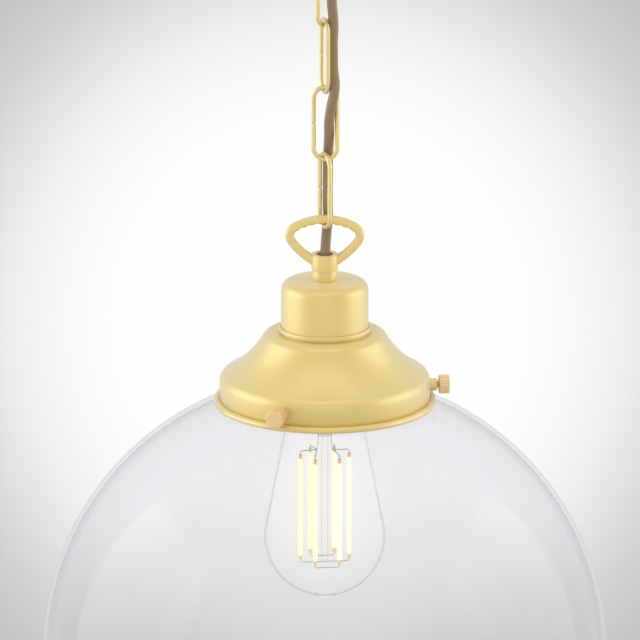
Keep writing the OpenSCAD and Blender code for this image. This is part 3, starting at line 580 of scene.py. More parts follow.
@dataclass(frozen=True)
class Glass:
    """Clear glass that lets the lamps' light through, with another tint where it is seen from the side, painted shade
    at its foot and crown, and an optional painted glow.
    """

    name: str
    slot: str
    tint: Colour
    side: Colour
    ior: float = 1.45
    # glow is a painted glow in the glass itself, standing in for light from the lit sticks scattered in it.
    glow: float = 0.0
    rim: Colour = (1.0, 1.0, 1.0)
    # foot and crown set the strength of painted shade: the glass is darkened towards black at its lowest part, and
    # near its top under the gallery where it is seen from the side.
    foot: float = 0.0
    crown: float = 0.0
    gloss: float = 0.0

    def material(self) -> bpy.types.Material:
        """The finished material."""
        recipe = Recipe(self.name)
        cloud = recipe.noise(recipe.place(), 28, 1)
        facing = recipe.node("ShaderNodeLayerWeight", None, {"Blend": 0.5}, "Facing")
        turned = facing.over(0.18, 0.45)
        colour = recipe.mix(turned, self.tint, self.side)
        colour = recipe.mix(facing.over(0.75, 0.83), colour, self.rim)
        # Painted shade: darker glass low on the globe and, seen from the side, at its crown under the gallery.
        height = recipe.node("ShaderNodeSeparateXYZ", None, {0: recipe.place()}, "Z")
        painted_shade = (1 - height.over(-0.47, -0.38)) * self.foot + turned * height.over(-0.365, -0.33) * self.crown
        colour = recipe.mix(painted_shade, colour, (0.0, 0.0, 0.0))
        colour = recipe.mix(cloud * 0.02, colour, (0.8, 0.8, 0.8))
        # The emission here is a painted glow; the glass is no lamp.
        clear = recipe.principled(
            Base_Color=colour, Transmission_Weight=1.0, IOR=self.ior, Roughness=(cloud - 0.5) * 0.004 + 0.002,
            Emission_Color=(1.0, 0.98, 0.95), Emission_Strength=self.glow, Coat_Weight=self.gloss,
            Coat_Roughness=0.1, Coat_IOR=1.5, Normal=recipe.bump(cloud, 0.01, 0.01))
        shadow = recipe.node("ShaderNodeLightPath", output="Is Shadow Ray")
        open_way = recipe.node("ShaderNodeBsdfTransparent", None, {"Color": (*self.tint, 1.0)})
        return recipe.done(recipe.node("ShaderNodeMixShader", None, {0: shadow, 1: clear, 2: open_way}))


@dataclass(frozen=True)
class Phosphor:
    """Lit filament sticks with bare tan ends."""

    name: str
    slot: str
    low: float
    high: float
    lit: Colour = (1.0, 0.95, 0.53)
    pale: Colour = (1.0, 1.0, 0.82)
    end: Colour = (0.80, 0.56, 0.26)
    end_length: float = 2.4
    strength: float = 1.0

    def material(self) -> bpy.types.Material:
        """The finished material."""
        recipe = Recipe(self.name)
        place = recipe.place()
        height = recipe.node("ShaderNodeSeparateXYZ", None, {0: place}, "Z")
        span = self.end_length * MM
        body = (height.over(self.low * MM + span * 0.8, self.low * MM + span * 1.2)
                * (1 - height.over(self.high * MM - span * 1.2, self.high * MM - span * 0.8)))
        speck = recipe.noise(place, 1500, 2)
        east = recipe.node("ShaderNodeSeparateXYZ", None, {0: place}, "X").over(-0.013, 0.013)
        glow = recipe.mix(east * 0.8 + speck * 0.2, self.lit, self.pale)
        base = recipe.mix(body, self.end, tuple(c * 0.2 for c in self.lit))
        # The bare ends get a faint painted glow, a quarter of their tan colour; only the coated body is a lamp.
        return recipe.done(recipe.principled(
            Base_Color=base, Roughness=(speck - 0.5) * 0.2 + 0.5,
            Emission_Color=recipe.mix(body, tuple(c * 0.25 for c in self.end), glow),
            Emission_Strength=self.strength, Normal=recipe.bump(speck, 0.3, 0.03)))


Finish = Union[Metal, Plain, Glass, Phosphor]
MADE: Dict[Finish, bpy.types.Material] = {}


def material_of(finish: Finish) -> bpy.types.Material:
    """The material of a finish, made once."""
    if finish not in MADE:
        MADE[finish] = finish.material()
    return MADE[finish]


BRASS = (0.86, 0.63, 0.095)
SPUN_BRASS = Metal("satin_brass_spun", "satin_brass", BRASS, 0.56, Mark.TURNED, coat=1.0, brushed=0.5, bare=0.4,
                   haze=0.55)
CAST_BRASS = Metal("satin_brass_cast", "satin_brass", BRASS, 0.56, Mark.CAST, coat=1.0, bare=0.4, haze=0.55)
WIRE_BRASS = Metal("satin_brass_wire", "satin_brass", (0.80, 0.60, 0.15), 0.34, Mark.DRAWN, shift=0.03, coat=1.0,
                   bare=0.65, haze=0.3)
BARE_BRASS = Metal("bare_brass", "screw_brass", (0.80, 0.56, 0.24), 0.34, Mark.TURNED)
ZINC = Metal("zinc_steel", "zinc_steel", (0.62, 0.63, 0.65), 0.38, Mark.CAST)
LEAD_WIRE = Metal("lead_wire", "zinc_steel", (0.76, 0.69, 0.64), 0.35, Mark.DRAWN)
NYLON = Plain("white_nylon", "white_nylon", (0.80, 0.79, 0.76), 0.45, subsurface=0.1)
SHEATH = Plain("flex_sheath", "flex_sheath", (0.335, 0.22, 0.105), 0.42, grain=900, shift=0.07)
BROWN_CORE = Plain("brown_core", "brown_core", (0.16, 0.06, 0.03), 0.4)
BLUE_CORE = Plain("blue_core", "blue_core", (0.03, 0.10, 0.36), 0.4)
GREEN_CORE = Plain("green_core", "green_core", (0.12, 0.36, 0.06), 0.4)
PORCELAIN = Plain("porcelain", "porcelain", (0.82, 0.81, 0.78), 0.22, grain=260, shift=0.03, coat=0.6)
BLACK_GLASS = Plain("black_glass", "black_glass", (0.012, 0.012, 0.014), 0.12, coat=0.5)
# The clear globe carries painted shade at its foot and crown.
CLEAR_GLASS = Glass("clear_glass", "clear_glass", (0.928, 0.927, 0.924), (0.957, 0.953, 0.970), 1.002,
                    rim=(0.90, 0.893, 0.925), foot=0.03, crown=0.055, gloss=0.5)
# Lamp and stem glass carry a faint painted glow from the lit sticks.
LAMP_GLASS = Glass("lamp_glass", "lamp_glass", (1.0, 0.995, 0.99), (0.985, 0.985, 0.995), 1.007, 0.014, (0.94, 0.94, 0.955))
STEM_GLASS = Glass("stem_glass", "lamp_glass", (1.0, 0.96, 0.92), (0.99, 0.94, 0.88), 1.025, 0.012, (0.97, 0.93, 0.89))


# Pieces

def make(name: str, form: Form, finish: Finish, *nodes: str, body: str = "", crease: float = 34.0
         ) -> bpy.types.Object:
    """Makes a piece of the visible model.

    Args:
        name: The piece's name.
        form: Its form in millimetres.
        finish: Its finish.
        nodes: CAD nodes that it stands for.
        body: Body that it rides on, where it isn't that of the first node, or "none".
        crease: Angle in degrees from which an edge stays sharp.

    Returns:
        The object.
    """
    mesh = bpy.data.meshes.new(name)
    mesh.from_pydata((form.points * MM).tolist(), [], form.faces)
    cleaned(mesh, 1e-6)
    mesh.shade_smooth()
    mesh.set_sharp_from_angle(angle=math.radians(crease))
    mesh.materials.append(material_of(finish))
    piece = bpy.data.objects.new(name, mesh)
    bpy.context.scene.collection.objects.link(piece)
    body = body or frame["nodes"][nodes[0]]["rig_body"]
    if body != "none":
        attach(piece, body)
    if nodes:
        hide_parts(*nodes)
    LOG.info("%s on %s: %d faces", name, body, len(mesh.polygons))
    return piece


def dress(finish: Finish, *nodes: str) -> None:
    """Gives carried-over CAD nodes a finish."""
    for node in nodes:
        shown = frame["nodes"][node]
        shown.data.materials.clear()
        shown.data.materials.append(material_of(finish))
        LOG.info("%s keeps its CAD form in %s", node, finish.name)


@dataclass
class Studio:
    """Camera, lamps, floor and backdrop."""

    elevation: float = 16.4
    distance: float = 12.0
    target: Tuple[float, float, float] = (-0.00254, 0.0, -0.27105)
    frame_width: float = 0.3392
    floor_z: float = -0.9
    floor_r: float = 16.0
    pale: float = 0.93
    veil: float = 0.7

    def camera(self) -> None:
        """A far camera at the photograph's elevation."""
        lens = bpy.data.cameras.new("camera")
        lens.sensor_width = 36.0
        lens.lens = 36.0 * self.distance / self.frame_width
        lens.clip_end = 100.0
        camera = bpy.data.objects.new("camera", lens)
        rise = math.radians(self.elevation)
        back = Vector((0, -math.cos(rise), math.sin(rise)))
        camera.location = Vector(self.target) + back * self.distance
        camera.rotation_euler = (math.pi / 2 - rise, 0, 0)
        bpy.context.scene.collection.objects.link(camera)
        bpy.context.scene.camera = camera

    def lamp(self, name: str, place: Point, aim: Point, size: Tuple[float, float], watts: float) -> None:
        """A soft box.

        Args:
            name: The lamp's name.
            place: Its middle, in metres.
            aim: The point that it faces.
            size: Its width and height.
            watts: Its power.
        """
        data = bpy.data.lights.new(name, "AREA")
        data.shape = "RECTANGLE"
        data.size, data.size_y = size
        data.energy = watts
        lamp = bpy.data.objects.new(name, data)
        lamp.location = place
        lamp.rotation_euler = (Vector(aim) - Vector(place)).to_track_quat("-Z", "Y").to_euler()
        lamp.visible_camera = False
        lamp.visible_transmission = False
        bpy.context.scene.collection.objects.link(lamp)

    def lamps(self) -> None:
        """Two large boxes at the sides, one above and a weak one in front."""
        middle = (0.0, 0.0, -0.3)
        self.lamp("left_box", (-2.1, 0.0, 0.25), (0.0, 0.0, 0.25), (2.4, 2.2), 21)
        self.lamp("right_box", (2.1, 0.1, 0.25), (0.0, 0.0, 0.25), (2.4, 2.2), 17)
        self.lamp("top_box", (0.0, -0.4, 2.2), middle, (2.0, 2.0), 8)
        self.lamp("front_box", (0.0, -3.0, 0.1), middle, (2.6, 1.8), 6)

    def seen(self, recipe: Recipe) -> Value:
        """1 on rays that show the backdrop: straight, mirrored or through glass."""
        rays = [recipe.node("ShaderNodeLightPath", output=f"Is {kind} Ray")
                for kind in ("Camera", "Glossy", "Transmission")]
        return recipe.math("MAXIMUM", recipe.math("MAXIMUM", rays[0], rays[1]), rays[2])

    def floor_finish(self) -> bpy.types.Material:
        """Pale floor, with a painted pool of light behind the object as seen from the front, fading towards the edges
        of the view, clear from below.
        """
        recipe = Recipe("floor")
        east = recipe.node("ShaderNodeSeparateXYZ", None, {0: recipe.place()}, "X")
        north = Value(recipe, east.socket.node.outputs["Y"])
        rise = math.radians(self.elevation)
        sin, cos = math.sin(rise), math.cos(rise)
        ahead = north + (self.distance * cos - self.target[1])
        drop = self.target[2] + self.distance * sin - self.floor_z
        depth = ahead * cos + drop * sin
        half = self.frame_width / 2 / self.distance
        across = (east - self.target[0]) / depth
        up = (ahead * sin - drop * cos) / depth
        reach = recipe.math("SQRT", across * across + up * up, 0.0) / half
        # Painted pool of light: the floor glows white in the middle of the view and darker towards its corners.
        painted_pool_falloff = ((0.0, 1.0), (0.62, 0.99), (0.81, 0.93), (0.954, 0.855), (1.11, 0.73), (1.24, 0.63),
                (1.41, 0.546), (2.0, 0.5))
        ramp = recipe.node("ShaderNodeValToRGB", {"stops": [(p / 2, (g, g, g)) for p, g in painted_pool_falloff]}, {0: reach * 0.5})
        tone = recipe.mix(reach.over(1.45, 2.4), ramp, (self.pale,) * 3)
        glow = recipe.node("ShaderNodeEmission", None, {"Color": tone, "Strength": 1.0})
        cloth = recipe.noise(recipe.place(), 3, 2)
        pale = recipe.principled(Base_Color=recipe.mix(cloth, (0.78, 0.78, 0.78), (0.80, 0.80, 0.80)),
                                 Roughness=0.8, Specular_IOR_Level=0.1)
        # Rays that show the floor see the painted pool's glow in place of the lit floor; outside the pool they see
        # only part of it.
        painted_pool_share = self.seen(recipe) * (1 - reach.over(1.45, 2.4) * (1 - self.veil))
        upper = recipe.node("ShaderNodeMixShader", None, {0: painted_pool_share, 1: pale, 2: glow})
        under = recipe.node("ShaderNodeNewGeometry", output="Backfacing")
        clear = recipe.node("ShaderNodeBsdfTransparent")
        return recipe.done(recipe.node("ShaderNodeMixShader", None, {0: under, 1: upper, 2: clear}))

    def floor(self) -> None:
        """A large round floor under the light."""
        rim = [(x * self.floor_r, y * self.floor_r, self.floor_z) for x, y in circle(1.0, 64)]
        mesh = bpy.data.meshes.new("floor")
        mesh.from_pydata(rim, [], [tuple(range(64))])
        mesh.materials.append(self.floor_finish())
        floor = bpy.data.objects.new("floor", mesh)
        bpy.context.scene.collection.objects.link(floor)

    def world(self) -> None:
        """An even pale surround that fills the shadows."""
        world = bpy.data.worlds.new("surround")
        bpy.context.scene.world = world
        world.use_nodes = True
        recipe = Recipe.__new__(Recipe)
        recipe.tree = world.node_tree
        recipe.tree.nodes.clear()
        glossy = recipe.node("ShaderNodeLightPath", output="Is Glossy Ray")
        shown = recipe.mix(glossy, (self.pale,) * 3, (0.75,) * 3)
        colour = recipe.mix(self.seen(recipe), (0.6,) * 3, shown)
        sky = recipe.node("ShaderNodeBackground", None, {"Color": colour, "Strength": 1.0})
        recipe.node("ShaderNodeOutputWorld", None, {"Surface": sky})

    def build(self) -> None:
        """Sets up everything but the camera."""
        bpy.context.scene.view_settings.view_transform = "Standard"
        self.lamps()
        self.floor()
        self.world()


@dataclass
class Flex:
    """The one flex, in a stretch for each pair of pieces that it crosses."""

    radius: float = 2.65
    sides: int = 28
    steps: int = 8
    route: Tuple[Point, ...] = (
        (0, 0, -39.6), (0, 0, -47), (1.3, 0.5, -54), (4.6, 1.5, -63), (6.9, 2, -72), (6.2, 1.2, -80),
        (4.6, 0, -88), (3.7, -0.8, -95), (4.2, -0.9, -102), (4.6, -1, -109), (4.3, -1.2, -117),
        (4.3, -1.2, -125), (4.5, -1.5, -133), (5.25, -3.2, -139.5), (5.1, -4.2, -144), (3.7, -3.8, -151),
        (2.8, -2.3, -157), (2.3, -0.5, -162), (2.3, 1.7, -169), (2, 4.3, -176), (1.7, 6.3, -182.5),
        (1.7, 6.4, -190), (1.6, 6.1, -199), (1.6, 6.2, -208), (1.7, 6.7, -216.5), (1.1, 5.2, -222.5),
        (0.5, 2.4, -229), (0.2, 0.7, -235), (0, 0, -241), (0, 0, -248.4))
    hand_over: Tuple[int, ...] = (0, 6, 11, 17, 22, 29)
    bodies: Tuple[str, ...] = ("fixture", "chain_4", "chain_3", "chain_2", "chain_1", "light")
    hinges: Tuple[float, ...] = (-72.6, -108.5, -145.45, -182.4, -219.35)
    soft: float = 13.0

    def tube(self, path: np.ndarray) -> Form:
        """A length of flex along a path."""
        return sweep(path, circle(self.radius, self.sides))

    def build(self) -> None:
        curve = smooth_path(self.route, self.steps)
        for k in range(5):
            path = curve[self.hand_over[k] * self.steps:self.hand_over[k + 1] * self.steps + 1]
            stretch = make(f"flex_stretch_{k + 1}", self.tube(path), SHEATH, f"flex_{k + 1}", body="none",
                           crease=60)
            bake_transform(stretch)


@dataclass
class Chain:
    """Four wire links, each with an open seam."""

    width: float = 15.0
    length: float = 42.2
    wire_r: float = 1.25
    seam: float = 0.3
    turns: Dict[str, float] = field(default_factory=lambda: {
        "link_1": -65.0, "link_2": 0.0, "link_3": -75.0, "link_4": 53.0})

    def path(self) -> np.ndarray:
        """The wire's middle from one side of the seam round to the other, its top at zero."""
        bend = self.width / 2 - self.wire_r
        side = self.length - self.width
        seam_z = -bend - side / 2
        gap = self.seam / 2
        start = [(-bend, z) for z in np.linspace(seam_z + gap, -bend, 14, endpoint=False)]
        top = arc((0, -bend), bend, 180, 0, 28)
        right = [(bend, z) for z in np.linspace(-bend, -bend - side, 26, endpoint=False)[1:]]
        low = arc((0, -bend - side), bend, 0, -180, 28)
        end = [(-bend, z) for z in np.linspace(-bend - side, seam_z - gap, 14)[1:]]
        return np.array([(x, 0.0, z) for x, z in start + top + right + low + end])

    def link(self, seed: int) -> Form:
        """One link, a little uneven as bent wire is."""
        path = self.path()
        rng = np.random.default_rng(seed)
        along = np.linspace(0, 1, len(path))
        phase = rng.uniform(0, TURN, 4)
        swell = 1 + 0.008 * np.sin(TURN * 5 * along + phase[0]) + 0.006 * np.sin(TURN * 9 * along + phase[1])
        sway = 0.05 * np.sin(TURN * 3 * along + phase[2]) * np.sin(math.pi * along)
        path[:, 1] += sway
        ends = np.array(rounded_ends(len(path), 1))
        return sweep(path, circle(self.wire_r - 0.01, 22), swell=list(swell * ends))

    def build(self) -> None:
        """Makes the links."""
        for seed, (node, turn) in enumerate(self.turns.items()):
            shift = sum(corner.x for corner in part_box(node)) / 2 / MM
            place = Matrix.Translation((shift, 0, head_of(node) - self.wire_r)) @ Matrix.Rotation(
                math.radians(turn), 4, "Z")
            make(f"chain_{node}", self.link(seed).placed(place), WIRE_BRASS, node, crease=50)


@dataclass
class LoopCasting:
    """Cast loop with its collar, scalloped under the crown."""

    crown_r: float = 34.6
    crown_z: float = -4.8
    corner_r: float = 7.5
    corner_x: float = -13.5
    corner_end: float = 215.0
    arm_r: float = 37.0
    foot: Tuple[float, float] = (-7.15, 3.2)
    bar_w: float = 4.6
    bar_d: float = 4.4
    bar_round: float = 1.6
    collar_r: float = 7.15
    collar_h: float = 8.7
    mouth_r: float = 4.4
    nipple_r: float = 5.05
    nipple_in: float = 3.3
    scallops: int = 7
    scallop_pitch: float = 4.2
    scallop_depth: float = 0.7
    scallop_r: float = 1.8
    flare: float = 0.22

    def path(self) -> np.ndarray:
        """The bar's middle line from one foot to the other."""
        half = self.bar_w / 2
        corner = (self.corner_x, self.crown_z + math.sqrt((self.crown_r - self.corner_r) ** 2 - self.corner_x ** 2))
        corner_start = angle_of(corner[0], corner[1] - self.crown_z)
        turn = math.radians(self.corner_end)
        gap = self.arm_r - self.corner_r
        arm = (corner[0] - gap * math.cos(turn), corner[1] - gap * math.sin(turn))
        arm_end = angle_of(self.foot[0] - arm[0], self.foot[1] - arm[1])
        sink = math.degrees((self.collar_r - self.nipple_r) / 2 / self.arm_r)
        left = arc((0, self.crown_z), self.crown_r - half, 90, corner_start, 60)
        left += arc(corner, self.corner_r - half, corner_start, self.corner_end, 20)[1:]
        left += arc(arm, self.arm_r - half, self.corner_end, arm_end + sink, 22)[1:]
        right = [(-x, z) for x, z in reversed(left[1:])]
        return np.array([(x, 0.0, z) for x, z in right + left])

    def section(self) -> Outline:
        """The bar's rounded section."""
        w, d, r = self.bar_w / 2, self.bar_d / 2, self.bar_round
        corners = [(w, -d, r), (w, d, r), (-w, d, r), (-w, -d, r)]
        outline = softened(corners, 6)
        dense: Outline = []
        for i, (x, y) in enumerate(outline):
            nx, ny = outline[(i + 1) % len(outline)]
            parts = max(1, round(math.hypot(nx - x, ny - y) / 0.45))
            dense += [(x + (nx - x) * k / parts, y + (ny - y) * k / parts) for k in range(parts)]
        return dense

    def bar(self) -> Form:
        """The bent bar with its scallops."""
        path = self.path()
        count = len(path)
        swell = [1.0] * count
        for i in range(10):
            grow = 1 + self.flare * ((10 - i) / 10) ** 2
            swell[i] = swell[count - 1 - i] = grow
        bar = sweep(path, self.section(), swell=swell)
        points = bar.points
        across, up = points[:, 0], points[:, 2] - self.crown_z
        reach = np.hypot(across, up)
        turn = np.degrees(np.arctan2(up, across)) - 90
        under = self.crown_r - self.bar_w
        pitch = math.degrees(self.scallop_pitch / under)
        for i in range(self.scallops):
            off = (turn - (i - (self.scallops - 1) / 2) * pitch) * math.radians(1) * reach
            inside = np.abs(off) < self.scallop_r
            depth = np.sqrt(np.maximum(self.scallop_r ** 2 - off ** 2, 0))
            floor = under - self.scallop_r + self.scallop_depth + depth
            lift = np.where(inside & (reach < floor) & (reach > under - 3), floor, reach)
            points[:, 0] *= lift / reach
            points[:, 2] = self.crown_z + up * lift / reach
            up = points[:, 2] - self.crown_z
            across = points[:, 0]
            reach = np.hypot(across, up)
        return bar

    def collar(self) -> Form:
        """The collar, bored for the nipple and open for the flex."""
        r, h = self.collar_r, self.collar_h
        return lathe(softened([
            (self.nipple_r, 0, 0.15), (r, 0, 0.3), (r, h, 0.35), (self.mouth_r, h, 0.5),
            (self.mouth_r, self.nipple_in, 0), (self.nipple_r, self.nipple_in, 0)]), 96)

    def form(self) -> Form:
        """Bar and collar in one."""
        return carved(self.collar(), self.bar(), Cut.UNITE)

    def build(self) -> None:
        """Makes the loop above the light and the inverted one under the rose."""
        form = self.form()
        make("loop_of_light", form.lifted(foot_of("lower_loop")), CAST_BRASS, "lower_loop", crease=40)
        flip = (Matrix.Translation((0, 0, head_of("upper_loop"))) @ Matrix.Rotation(math.radians(143.0), 4, "Z")
                @ Matrix.Scale(-1, 4, (0, 0, 1)))
        make("loop_of_rose", form.placed(flip), CAST_BRASS, "upper_loop", crease=40)


@dataclass
class Ogee:
    """Outline of spun sheet: a straight band, a corner, a hollow flare and a shoulder."""

    band_r: float
    band_h: float
    corner_r: float
    hollow_r: float
    top_r: float
    shoulder_r: float
    height: float
    hole_r: float

    def outline(self, inset: float, steps: int = 24) -> Outline:
        """The outline from the hole down to the band's foot, moved in by a wall."""
        ax, ay = self.top_r, self.height - self.shoulder_r
        bx, by = self.band_r - self.corner_r, self.band_h
        ra, rb = self.hollow_r + self.shoulder_r, self.hollow_r + self.corner_r
        gap = math.hypot(bx - ax, by - ay)
        ux, uy = (bx - ax) / gap, (by - ay) / gap
        along = (gap ** 2 + ra ** 2 - rb ** 2) / (2 * gap)
        up = math.sqrt(ra ** 2 - along ** 2)
        cx, cy = ax + along * ux - up * uy, ay + along * uy + up * ux
        a1, a2 = angle_of(cx - ax, cy - ay), angle_of(cx - bx, cy - by)
        return ([(self.hole_r, self.height - inset)]
                + arc((ax, ay), self.shoulder_r - inset, 90, a1, 12)
                + arc((cx, cy), self.hollow_r + inset, a1 + 180, a2 + 180, steps)
                + arc((bx, by), self.corner_r - inset, a2, 0, 12))


@dataclass
class Gallery:
    """Spun gallery with its rolled bead, and the three bushes in its band."""

    ogee: Ogee = field(default_factory=lambda: Ogee(55.8, 11.0, 5.0, 52.0, 28.5, 5.0, 38.0, 19.0))
    wall: float = 1.0
    bead_c_r: float = 57.25
    bead_r: float = 1.75
    screw_z: float = 6.8
    azimuths: Tuple[float, ...] = (6.0, 126.0, 246.0)
    bush_r: float = 3.35
    bush_end: float = 59.7
    bore_r: float = 2.0

    def bead_z(self) -> float:
        """Height of the bead's middle."""
        return foot_of("gallery") + self.bead_r

    def axis(self, azimuth: float) -> Matrix:
        """Place of a screw's axis, with its Z outwards."""
        return (Matrix.Translation((0, 0, self.bead_z() + self.screw_z))
                @ Matrix.Rotation(math.radians(azimuth), 4, "Z") @ Matrix.Rotation(math.pi / 2, 4, "Y"))

    def shell(self) -> Form:
        """The spun sheet with its bead, bored for the bushes."""
        outer = self.ogee.outline(0.0, 40)
        inner = self.ogee.outline(self.wall, 40)
        band = self.ogee.band_r
        bead = arc((self.bead_c_r, 0), self.bead_r, 148, -146, 30)
        outline = outer + [(band, 1.6), (band - 0.22, 1.25)] + bead + [(band - self.wall, -0.9)] + inner[::-1]
        shell = lathe(outline, 192).lifted(self.bead_z())
        for azimuth in self.azimuths:
            drill = lathe(softened([(0, 40, 0), (2.75, 40, 0), (2.75, 70, 0), (0, 70, 0)]), 48)
            shell = carved(shell, drill.placed(self.axis(azimuth)), Cut.TAKE_AWAY)
        return shell

    def bushes(self) -> Form:
        """The three bushes."""
        inner, seat = self.ogee.band_r - self.wall, self.ogee.band_r - 0.6
        spigot = self.bush_r - 0.65
        outline = softened([
            (self.bore_r, inner, 0), (spigot, inner, 0), (spigot, seat, 0), (self.bush_r, seat, 0),
            (self.bush_r, self.bush_end, 0.35), (self.bore_r, self.bush_end, 0.2)])
        return joined([lathe(outline, 64).placed(self.axis(a)) for a in self.azimuths])

    def build(self) -> None:
        """Makes the gallery and its bushes."""
        make("gallery_spun", self.shell(), SPUN_BRASS, "gallery", crease=38)
        make("bushes", self.bushes(), CAST_BRASS, "screw_bushes")


@dataclass
class ThumbScrews:
    """Three knurled screws with soft tips."""

    gallery: Gallery
    pin_r: float = 1.2
    pin_start: float = 50.8
    shank_r: float = 1.95
    shank_start: float = 53.85
    pitch: float = 0.7
    thread: float = 0.16
    head_r: float = 5.0
    head_start: float = 60.8
    head_end: float = 66.3
    chamfer: float = 0.6
    knurls: int = 24
    knurl_depth: float = 0.3
    tip_start: float = 49.8
    tip_end: float = 53.8

    def warp(self, turn: np.ndarray, radius: np.ndarray, height: np.ndarray) -> np.ndarray:
        """Cuts the thread and the knurls."""
        wave = (height / self.pitch - turn / TURN) % 1.0
        thread = self.thread * np.abs(2 * wave - 1)
        shank = (height > self.shank_start + 0.3) & (height < self.head_start - 0.1) & (radius > 1.5)
        groove = np.clip(np.cos(turn * self.knurls), -0.4, 1) * 0.5 + 0.2
        rim = np.clip((radius - 3.9) / 0.9, 0, 1)
        return radius - np.where(shank, thread, 0.0) - self.knurl_depth * groove * rim * 1.4

    def screw(self) -> Form:
        """One screw along Z."""
        c = self.chamfer
        shank = [(self.shank_r, z) for z in np.arange(self.shank_start, self.head_start, self.pitch / 6)]
        head = softened([
            (self.head_r, self.head_start, c), (self.head_r, self.head_end, c * 0.8),
            (0, self.head_end, 0), (0, self.head_start, 0)], 5)[:12]
        outline = ([(0, self.pin_start), (self.pin_r - 0.2, self.pin_start), (self.pin_r, self.pin_start + 0.2),
                    (self.pin_r, self.shank_start)] + shank + [(self.shank_r, self.head_start)]
                   + head + [(3.6, self.head_end), (0, self.head_end)])
        return lathe(outline, self.knurls * 8, self.warp)

    def tip(self) -> Form:
        """One soft tip along Z."""
        r, hole = self.shank_r, self.pin_r + 0.05
        floor = self.pin_start - 0.05
        return lathe(softened([
            (0, self.tip_start, 0), (r, self.tip_start, 0.5), (r, self.tip_end, 0.1), (hole, self.tip_end, 0),
            (hole, floor, 0), (0, floor, 0)]), 40)

    def build(self) -> None:
        """Makes the screws and their tips."""
        for k, azimuth in enumerate(self.gallery.azimuths, 1):
            place = self.gallery.axis(azimuth)
            centre = tuple(place.translation * MM)
            axis = tuple(place.to_3x3() @ Vector((0, 0, 1)))
            finish = Metal(f"thumb_screw_brass_{k}", "screw_brass", (0.90, 0.60, 0.25), 0.36, Mark.TURNED,
                           centre=centre, axis=axis, coat=0.7, bare=0.6)
            make(f"knurled_screw_{k}", self.screw().placed(place), finish, f"thumb_screw_{k}", crease=28)
            make(f"soft_tip_{k}", self.tip().placed(place), NYLON, f"screw_tip_{k}")


@dataclass
class HolderCover:
    """Drawn cover of the lampholder with the ring round its foot."""

    r: float = 23.3
    top_r: float = 23.1
    height: float = 28.7
    edge_r: float = 5.0
    dome: float = 0.8
    wall: float = 1.0
    hole_r: float = 5.3
    flat_r: float = 7.65
    ring_r: float = 24.8
    ring_h: float = 3.4
    ring_soft: float = 0.6
    ring_gap: float = 1.05

    def cup(self) -> Form:
        """The drawn cup."""
        w, h = self.wall, self.height
        outline = softened([
            (self.hole_r, h, 0), (self.flat_r, h, 0), (self.top_r, h - self.dome, self.edge_r), (self.r, 0, 0.1),
            (self.r - w, 0, 0.1), (self.top_r - w, h - w - self.dome, self.edge_r - w), (9.5, h - w, 0),
            (self.hole_r, h - w, 0)], 14)
        return lathe(outline, 160)

    def foot_ring(self) -> Form:
        """The ring round the cup's foot."""
        inner, s = self.r + 0.05, self.ring_soft
        outline = softened([
            (inner, 0, 0), (self.ring_r - 1.4, 0, 0.1), (self.ring_r - 1.4, self.ring_gap, 0.2),
            (self.ring_r, self.ring_gap, s), (self.ring_r, self.ring_h, s), (inner, self.ring_h, 0.4)], 6)
        return lathe(outline, 160)

    def build(self) -> None:
        """Makes both."""
        z = foot_of("holder_cover")
        make("cover", self.cup().lifted(z), SPUN_BRASS, "holder_cover")
        make("cover_foot_ring", self.foot_ring().lifted(z), SPUN_BRASS, "foot_ring")


@dataclass
class NeckRings:
    """Plain rings between the loops and the sheet, and the threaded pieces through them."""

    ring_r: float = 6.65
    ring_h: float = 5.5
    bore_r: float = 5.05
    nipple_r: float = 5.0
    nipple_bore: float = 4.0
    pitch: float = 1.0
    thread: float = 0.3
    washer_r: float = 9.0
    washer_t: float = 0.6
    washer_hole: float = 5.3

    def ring(self) -> Form:
        """A plain ring with softened edges."""
        return lathe(softened([
            (self.bore_r, 0, 0.2), (self.ring_r, 0, 0.35), (self.ring_r, self.ring_h, 0.35),
            (self.bore_r, self.ring_h, 0.2)]), 96)

    def nipple(self, low: float, high: float) -> Form:
        """A threaded tube."""
        def warp(turn: np.ndarray, radius: np.ndarray, height: np.ndarray) -> np.ndarray:
            wave = np.abs(2 * ((height / self.pitch - turn / TURN) % 1.0) - 1)
            return radius - np.where(radius > self.nipple_r - 0.1, self.thread * wave, 0.0)
        steps = int((high - low) / self.pitch * 6)
        outside = [(self.nipple_r, z) for z in np.linspace(low, high, steps)]
        return lathe([(self.nipple_bore, low)] + outside + [(self.nipple_bore, high)], 72, warp)

    def washer(self) -> Form:
        """A flat washer."""
        return lathe(softened([
            (self.washer_hole, 0, 0.08), (self.washer_r, 0, 0.15), (self.washer_r, self.washer_t, 0.15),
            (self.washer_hole, self.washer_t, 0.08)], 3), 72)

    def build(self) -> None:
        """Makes the rings, the nipples and the washer."""
        for end in ("upper", "lower"):
            make(f"ring_{end}", self.ring().lifted(foot_of(f"{end}_ring")), SPUN_BRASS, f"{end}_ring")
            nipple = f"{end}_nipple"
            make(f"threaded_{nipple}", self.nipple(foot_of(nipple), head_of(nipple)), BARE_BRASS, nipple)
        make("flat_washer", self.washer().lifted(foot_of("lower_washer")), ZINC, "lower_washer")
        dress(BARE_BRASS, "upper_nut", "lower_nut", "earth_tag")
        dress(NYLON, "upper_grip", "lower_grip")


